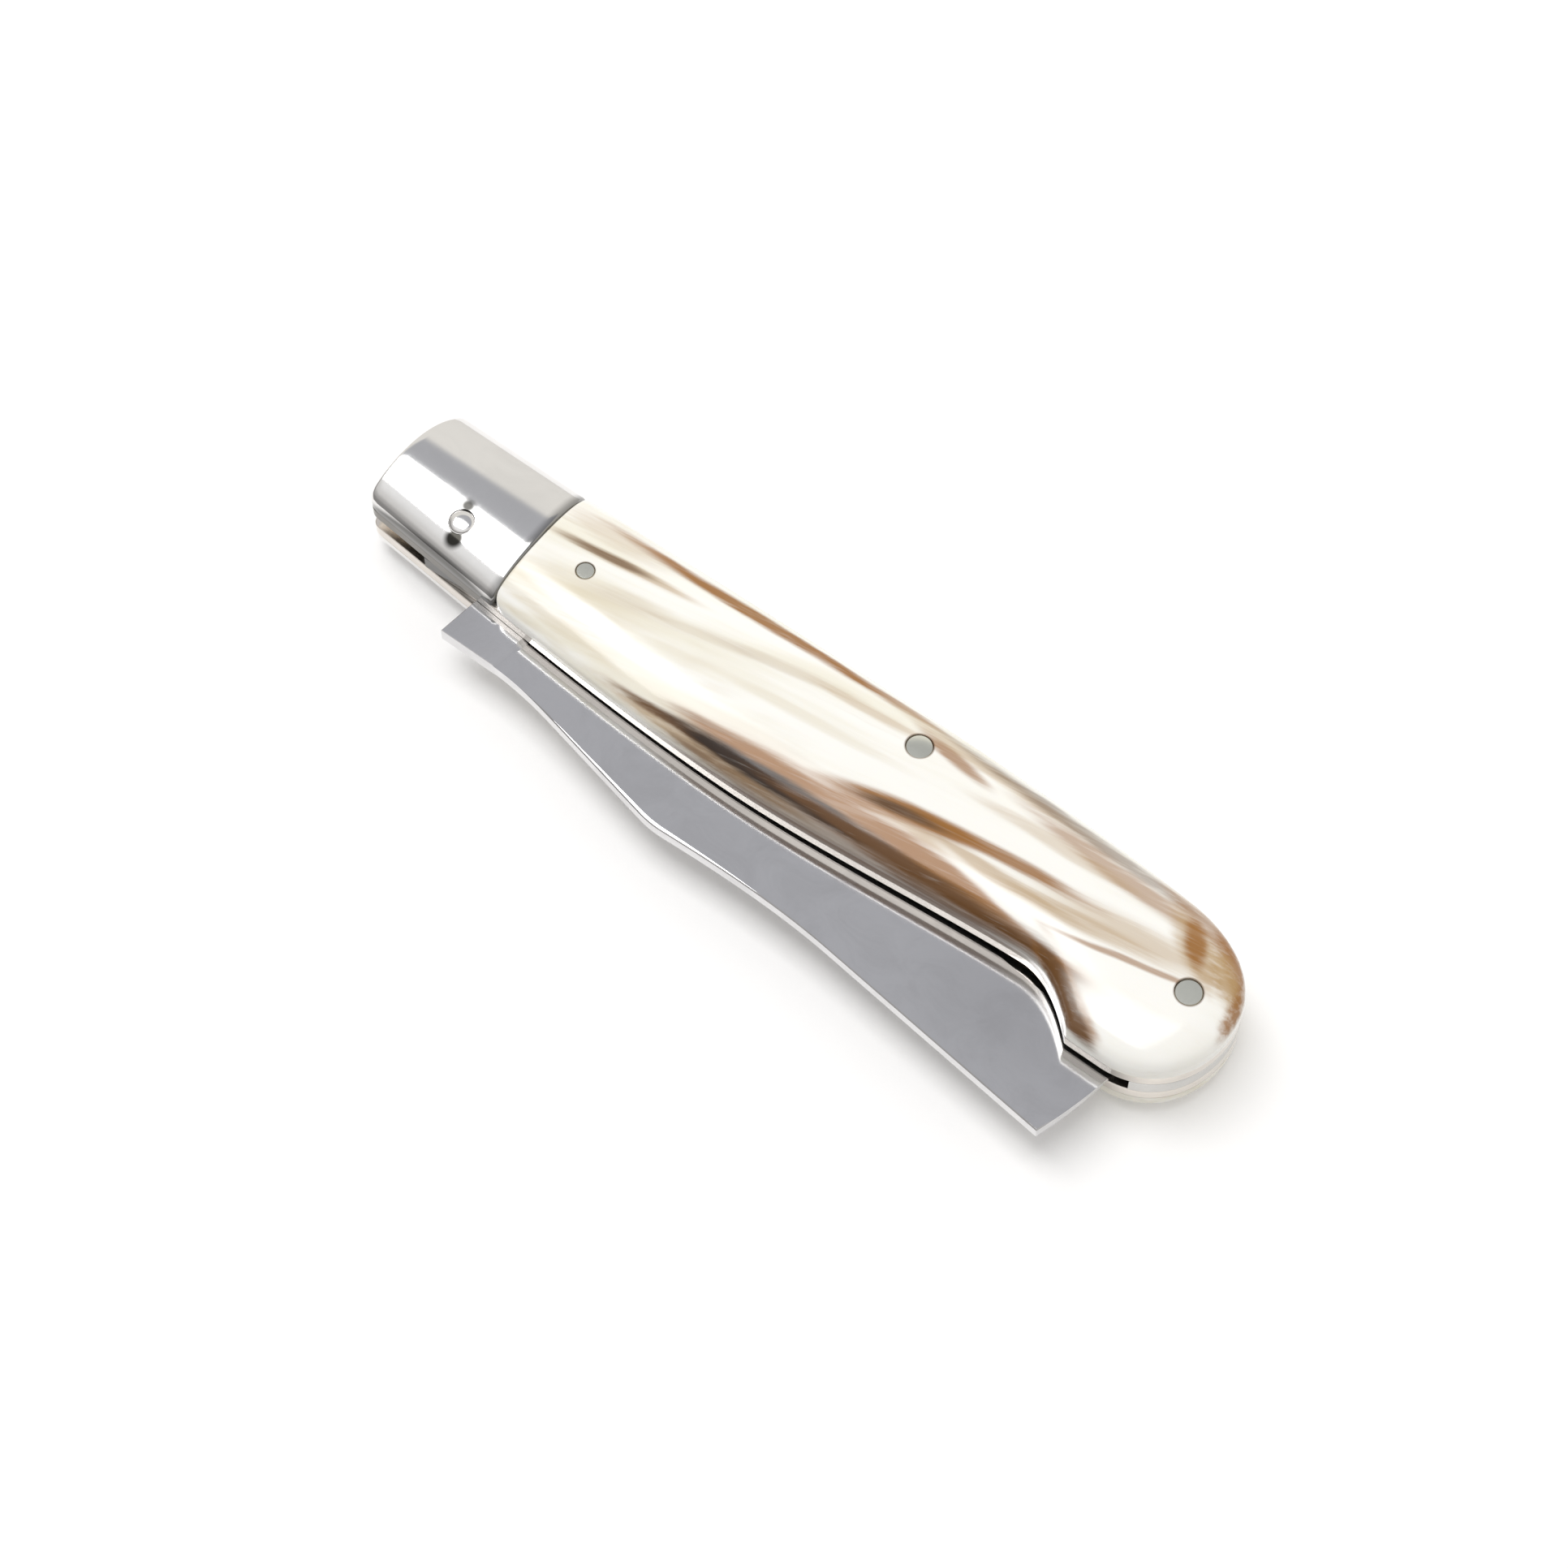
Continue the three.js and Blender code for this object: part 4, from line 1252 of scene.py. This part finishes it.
def spring_outline(shape, blade, spring, pins):
    """Outline of the spring: the handle's own along the back and butt, and the blade's well."""
    handle = shape.sizes
    places = rivet_places(handle, pins)
    lean = blade.shoulder_rake / (blade.spine_at_heel - blade.tang_flat)

    def end_at(y):
        return spring.stop_play - blade.shoulder_at - lean * (blade.spine_at_heel - y)

    nose_face = blade.tang_radius + spring.nose_play
    leaf = handle.back_at_crest - spring.leaf_depth
    middle, radius = places["spring"]
    boss_at, boss = middle.x, middle.y - radius - spring.boss_wall
    tail, radius = places["tail"]
    tail_front = tail.x - radius - spring.tail_wall
    tail_at = blade.reach + spring.end_room
    start = end_at(handle.back_at_nose) + spring.nose_round
    well = PlanLine(start, handle.back_at_nose)
    well.curve(
        end_at(blade.spine_at_heel), blade.spine_at_heel, TO_NOSE, TO_BELLY, ROUND_FULLNESS
    )
    well.line(end_at(nose_face), nose_face)
    well.line(spring.nose_length, nose_face)
    well.curve(spring.leaf_start, leaf, TO_BUTT, TO_BUTT, ROUND_FULLNESS)
    well.line(boss_at - spring.boss_run, leaf)
    well.curve(boss_at, boss, TO_BUTT, TO_BUTT, ROUND_FULLNESS)
    well.curve(boss_at + spring.boss_run, leaf, TO_BUTT, TO_BUTT, ROUND_FULLNESS)
    well.line(tail_front - spring.tail_run, leaf)
    well.curve(tail_front, tail.y, TO_BUTT, TAIL_SLOPE, ROUND_FULLNESS)
    well.curve(tail_at, blade.edge_at_end, TAIL_SLOPE, TO_BELLY)
    well.line(tail_at, shape.belly(tail_at))
    back = [p for p in shape.back_line if p.x > start]
    belly = [p for p in shape.belly_line[-2::-1] if p.x > tail_at]
    return back + belly + well.points[::-1]


def blade_outline(blade):
    """Blade outline from the shoulder along the spine, the square end, the edge and the tang."""
    slope = heading_of(blade.hump_at - blade.slope_start, blade.spine_at_slope - blade.spine_at_hump)
    hump = Vector((blade.hump_at, -blade.spine_at_hump))
    before = hump - along(slope, blade.hump_softness)
    behind = hump + along(math.degrees(blade.hump_rise), blade.hump_softness)
    end = heading_of(blade.end_rake, blade.spine_at_end + blade.edge_at_end)
    bow = math.degrees(blade.end_turn)
    spine_end = blade.reach - blade.end_rake
    fall = heading_of(spine_end - blade.hollow_end, blade.spine_at_hollow - blade.spine_at_end)
    half = math.sqrt(blade.tang_radius**2 - blade.tang_flat**2)
    corner = heading_of(blade.tang_flat, half)
    line = PlanLine(blade.shoulder_at + blade.shoulder_rake, -blade.tang_flat)
    line.line(blade.shoulder_at, -blade.spine_at_heel)
    line.line(blade.heel_run, -blade.spine_at_heel)
    line.curve(blade.slope_start, -blade.spine_at_slope, TO_BUTT, slope)
    line.line(before.x, before.y)
    line.corner(hump, behind)
    line.curve(
        blade.hollow_end, -blade.spine_at_hollow, math.degrees(blade.hump_rise), fall
    )
    line.line(spine_end, -blade.spine_at_end)
    line.curve(blade.reach, blade.edge_at_end, end - bow, end + bow)
    line.line(blade.edge_heel_at, blade.edge_at_heel)
    kick = blade.kick_width / 2
    line.curve(blade.kick_at + kick, blade.tang_flat, CHOIL_START, CHOIL_END)
    line.line(blade.kick_at, blade.tang_flat + blade.kick_height)
    line.line(blade.kick_at - kick, blade.tang_flat)
    line.arc(blade.tang_radius, TO_BACK + corner, TO_NOSE - corner)
    line.arc(blade.tang_radius, TO_NOSE + corner, TO_NOSE + TO_BACK - corner)
    return line.points


def grind_tool(blade, middle, half, side):
    """What the flat grind and the honed bevel take off one side of the blade."""
    heel = Vector((blade.edge_heel_at, blade.edge_at_heel, middle))
    tip = Vector((blade.reach, blade.edge_at_end, middle))
    run = (tip - heel).length + blade.end_rake + SPARE
    onward = (tip - heel).normalized()
    up = Vector((0.0, 0.0, side))
    inwards = onward.cross(Vector((0.0, 0.0, 1.0)))
    rise = (half - blade.bevel_half) / (blade.grind_width - blade.bevel_width)
    deep = blade.grind_width + blade.spine_at_end
    tall = 2 * (half + SPARE)
    section = [
        (-SPARE, blade.edge_half),
        (0.0, blade.edge_half),
        (blade.bevel_width, blade.bevel_half),
        (deep, blade.bevel_half + rise * (deep - blade.bevel_width)),
        (deep, tall),
        (-SPARE, tall),
    ]
    tool = prism("grind", section, run, inwards, up, onward, heel)
    plunge = PlanLine(0.0, half + blade.play)
    knee = blade.plunge_length * PLUNGE_KNEE
    plunge.corner((knee, 0.0), (blade.plunge_length, 0.0))
    plunge.line(run + SPARE, 0.0)
    plunge.line(run + SPARE, tall + SPARE)
    plunge.line(0.0, tall + SPARE)
    start = heel - inwards * (2 * SPARE)
    run_out = prism(
        "plunge", [tuple(p) for p in plunge.points], deep + 4 * SPARE, onward, up, inwards, start
    )
    combine(tool, run_out, "INTERSECT")
    return tool


class KNIFE_OT_blade(Operator):
    """Build the square-ended blade: flat ground, with a honed edge and a squared tang"""

    bl_idname = "knife.blade"
    bl_label = "Blade"

    def execute(self, context):
        scene = context.scene
        blade, pins = scene.knife_blade, scene.knife_pins
        shape = HandleShape(scene.knife_handle)
        middle = shape.stack / 2
        half = shape.sizes.slot_width / 2 - blade.play
        low, high = middle - half, middle + half

        def bevel(point):
            """Wide along the spine, from the end of the heel on, and small elsewhere."""
            spine = lerp(blade.spine_at_heel, blade.spine_at_end, point.x / blade.reach) / 2
            part = smooth(point.x, blade.heel_run, blade.slope_start) * (point.y < -spine)
            width = lerp(blade.broken_edge, blade.spine_bevel, part)
            return width, lerp(blade.broken_edge, blade.spine_drop, part)

        piece = plate("satin_blade", blade_outline(blade), low, high, bevel)
        for side in (1, -1):
            combine(piece, grind_tool(blade, middle, half, side), "DIFFERENCE", BLADE_SHARP)
        drill(piece, AT_PIVOT, pins.pivot_radius + pins.pivot_play, low, high, BLADE_SHARP)
        steel = steel_finish("blade_steel", scene.knife_colours)
        joined_up(piece, BLADE_BODY, steel, "blade")
        return {"FINISHED"}


class KNIFE_OT_pivot(Operator):
    """Build the pivot pin with a low peened head on each bolster"""

    bl_idname = "knife.pivot"
    bl_label = "Pivot Pin"

    def execute(self, context):
        scene = context.scene
        pins = scene.knife_pins
        shape = HandleShape(scene.knife_handle)
        middle = shape.stack / 2
        foot = middle - pins.pivot_top - pins.pivot_dome
        head = []
        for step in range(HEAD_STEPS + 1):
            angle = math.pi / 2 * step / HEAD_STEPS
            radius = pins.pivot_radius * math.cos(angle) ** HEAD_FLATNESS
            head.append((max(radius, HEAD_TIP), foot + pins.pivot_dome * math.sin(angle)))
        lower = [(radius, middle - height) for radius, height in reversed(head)]
        upper = [(radius, middle + height) for radius, height in head]
        pin = turned("peened_pivot_pin", lower + upper, AT_PIVOT)
        for corner in pin.data.vertices:
            side = math.copysign(pins.pivot_slope, corner.co.z - middle)
            corner.co.z += side * (corner.co.y - PIVOT.y)
        steel = steel_finish("pin_steel", scene.knife_colours)
        joined_up(pin, HANDLE_BODY, steel, "pivot_pin")
        return {"FINISHED"}


def rivet_rings(surface, shape, rivet, pins, lean, crown):
    """Filed head of a rivet, as rings of points from the edge. It leans by a share of the
    horn's own slope round it."""
    place, radius = rivet
    outside = shape.stack + SPARE

    def horn_at(spot):
        return surface.met_from(Vector((PIVOT.x + spot.x, PIVOT.y + spot.y, outside)))

    facing = horn_at(place)[1]
    slope = Vector((-facing.x / facing.z, -facing.y / facing.z)) * lean
    edge = circle(radius)
    base = min(horn_at(place + spot)[0].z - slope.dot(spot) for spot in edge) - pins.rivet_sink
    profile = [(1.0, -pins.rivet_chamfer), (1 - pins.rivet_chamfer / radius, 0.0)]
    profile += [(part, rise * crown) for part, rise in CROWN_PROFILE]
    rings = []
    for part, rise in profile:
        ring = [spot * part for spot in edge]
        rings.append(
            [Vector((place.x + s.x, place.y + s.y, base + slope.dot(s) + rise)) for s in ring]
        )
    return rings


class KNIFE_OT_rivets(Operator):
    """Build the rivets of the scales, filed down with the horn"""

    bl_idname = "knife.rivets"
    bl_label = "Rivets"

    def execute(self, context):
        scene = context.scene
        pins = scene.knife_pins
        shape = HandleShape(scene.knife_handle)
        places = rivet_places(scene.knife_handle, pins)
        guide = make_piece("guide", *scale_dome(shape))
        surface = Surface(guide)

        def heads(key, lean, crown):
            upper = rivet_rings(surface, shape, places[key], pins, lean, crown)
            return [mirrored(ring, shape) for ring in reversed(upper)], upper

        def through(key, lean, crown):
            lower, upper = heads(key, lean, crown)
            return lower + upper

        def seat(ring, height):
            return [Vector((p.x, p.y, height)) for p in ring]

        lower, upper = heads("front", 0.0, pins.flat_crown)
        solids = {
            "spring_rivet": through("spring", SPRING_RIVET_LEAN, pins.rivet_crown),
            "tail_rivet": through("tail", TAIL_RIVET_LEAN, pins.flat_crown),
            "top_front_rivet": [seat(upper[0], shape.gap_high)] + upper,
            "bottom_front_rivet": lower + [seat(lower[-1], shape.gap_low)],
        }
        steel = steel_finish("rivet_steel", scene.knife_colours)
        for node, rings in solids.items():
            joined_up(ringed("filed_" + node, rings), HANDLE_BODY, steel, node)
        discard(guide)
        return {"FINISHED"}


# Surroundings of the far and the near side, as heights of a direction and what is seen there

FAR_SIDE = [
    (-1.0, (0.80, 0.80, 0.79)),
    (-0.2, (0.78, 0.77, 0.75)),
    (0.0, (0.82, 0.80, 0.76)),
    (0.745, (0.84, 0.82, 0.78)),
    (0.8, (0.45, 0.455, 0.48)),
    (1.0, (0.44, 0.445, 0.47)),
]
NEAR_SIDE = [
    (-1.0, (0.80, 0.80, 0.79)),
    (-0.2, (0.36, 0.355, 0.35)),
    (0.1, (0.27, 0.265, 0.26)),
    (0.3, (0.28, 0.275, 0.27)),
    (0.5, (0.45, 0.44, 0.43)),
    (0.7, (0.72, 0.71, 0.70)),
    (0.85, (0.90, 0.90, 0.90)),
]
SIDES_MEET = (-0.25, 0.3)

# Softbox in shares of its height above the table, camera and the floor's paper

SOFTBOX_LENGTH = 1.0
SOFTBOX_WIDTH = 0.5
SOFTBOX_SHIFT = (-0.33, 0.01)
NEAREST = 0.01
FURTHEST = 100.0
SENSOR_WIDTH = 36.0
PAPER_PATCHES = (9, 9, 9)
PAPER_SHADE = 0.985
PAPER_FIBRES = (2600, 2600, 2600)
PAPER_RELIEF = 0.01 * MM
PAPER_ROUGHNESS = 0.9


class KNIFE_OT_studio(Operator):
    """Set up the plain floor, the soft light and the camera"""

    bl_idname = "knife.studio"
    bl_label = "Studio"

    def execute(self, context):
        scene = context.scene
        studio = scene.knife_studio
        scene.view_settings.view_transform = "Standard"
        self.lay_floor(studio)
        self.light_room(scene)
        self.hang_softbox(studio)
        self.set_camera(scene, studio)
        return {"FINISHED"}

    def lay_floor(self, studio):
        mesh = bpy.data.meshes.new("floor")
        work = bmesh.new()
        half = studio.floor_size / 2
        bmesh.ops.create_grid(work, x_segments=FLOOR_TILES, y_segments=FLOOR_TILES, size=half)
        work.to_mesh(mesh)
        work.free()
        floor = bpy.data.objects.new("floor", mesh)
        bpy.context.scene.collection.objects.link(floor)
        paper = Finish("floor_paper")
        tone = rgba(studio.floor_tone)
        soft = rgba([channel * PAPER_SHADE for channel in studio.floor_tone])
        sockets = {
            "Base Color": paper.mixed(paper.noise(PAPER_PATCHES, detail=3.0), tone, soft),
            "Roughness": PAPER_ROUGHNESS,
            "Emission Color": tone,
            "Emission Strength": studio.floor_glow,
        }
        paper.shade(sockets)
        paper.bump(paper.noise(PAPER_FIBRES, detail=2.0), PAPER_RELIEF)
        mesh.materials.append(paper.material)

    def light_room(self, scene):
        world = bpy.data.worlds.new("soft_room")
        world.use_nodes = True
        room = Nodes(world.node_tree)
        towards = room.add("ShaderNodeTexCoord").outputs["Generated"]
        split = room.add("ShaderNodeSeparateXYZ", {"Vector": towards}).outputs
        height = room.add("ShaderNodeMapRange", {"Value": split["Z"], "From Min": -1.0})
        sides = []
        for stops in (NEAR_SIDE, FAR_SIDE):
            ramp = room.add("ShaderNodeValToRGB", {"Fac": height.outputs["Result"]})
            elements = ramp.color_ramp.elements
            ramp.color_ramp.interpolation = "EASE"
            while len(elements) < len(stops):
                elements.new(0.5)
            for element, (rise, tone) in zip(elements, stops):
                element.position = (rise + 1) / 2
                element.color = rgba(tone)
            sides.append(ramp.outputs["Color"])
        seen = room.mixed(room.between(split["Y"], *SIDES_MEET), *sides)
        room.feed(world.node_tree.nodes["Background"].inputs["Color"], seen)
        scene.world = world

    def hang_softbox(self, studio):
        height = studio.softbox_height
        light = bpy.data.lights.new("softbox", "AREA")
        light.shape = "RECTANGLE"
        light.size = SOFTBOX_LENGTH * height
        light.size_y = SOFTBOX_WIDTH * height
        light.energy = studio.softbox_power
        lamp = bpy.data.objects.new("softbox", light)
        lamp.location = Vector((*SOFTBOX_SHIFT, 1.0)) * height
        bpy.context.scene.collection.objects.link(lamp)

    def set_camera(self, scene, studio):
        lens = bpy.data.cameras.new("camera")
        lens.lens = studio.lens
        lens.sensor_width = SENSOR_WIDTH
        lens.clip_start = NEAREST
        lens.clip_end = FURTHEST
        camera = bpy.data.objects.new("camera", lens)
        azimuth, elevation = studio.azimuth, studio.elevation
        back = Vector(
            (
                math.sin(azimuth) * math.cos(elevation),
                -math.cos(azimuth) * math.cos(elevation),
                math.sin(elevation),
            )
        )
        camera.location = Vector(studio.aim) + back * studio.distance
        camera.rotation_mode = "QUATERNION"
        camera.rotation_quaternion = (-back).to_track_quat("-Z", "Y")
        scene.collection.objects.link(camera)
        scene.camera = camera


class KNIFE_PT_panel(Panel):
    """Lists the steps that build the knife"""

    bl_idname = "KNIFE_PT_panel"
    bl_label = "Folding Knife"
    bl_space_type = "VIEW_3D"
    bl_region_type = "UI"
    bl_category = "Knife"

    def draw(self, context):
        for step in STEPS:
            self.layout.operator(step.bl_idname)
        for name in GROUPS:
            box = self.layout.box()
            group = getattr(context.scene, name)
            for key in group.bl_rna.properties.keys():
                if key not in ("rna_type", "name"):
                    box.prop(group, key)


GROUPS = {
    "knife_handle": HandleSizes,
    "knife_blade": BladeSizes,
    "knife_spring": SpringSizes,
    "knife_pins": PinSizes,
    "knife_colours": KnifeColours,
    "knife_studio": StudioSettings,
}
STEPS = (
    KNIFE_OT_studio,
    KNIFE_OT_liners,
    KNIFE_OT_spring,
    KNIFE_OT_blade,
    KNIFE_OT_bolsters,
    KNIFE_OT_scales,
    KNIFE_OT_pivot,
    KNIFE_OT_rivets,
)


def register():
    for part in (*GROUPS.values(), *STEPS, KNIFE_PT_panel):
        bpy.utils.register_class(part)
    for name, group in GROUPS.items():
        setattr(bpy.types.Scene, name, PointerProperty(type=group))


def unregister():
    for name in GROUPS:
        delattr(bpy.types.Scene, name)
    for part in reversed((*GROUPS.values(), *STEPS, KNIFE_PT_panel)):
        bpy.utils.unregister_class(part)


def main():
    register()
    for step in STEPS:
        group, action = step.bl_idname.split(".")
        getattr(getattr(bpy.ops, group), action)()


if __name__ == "__main__":
    main()
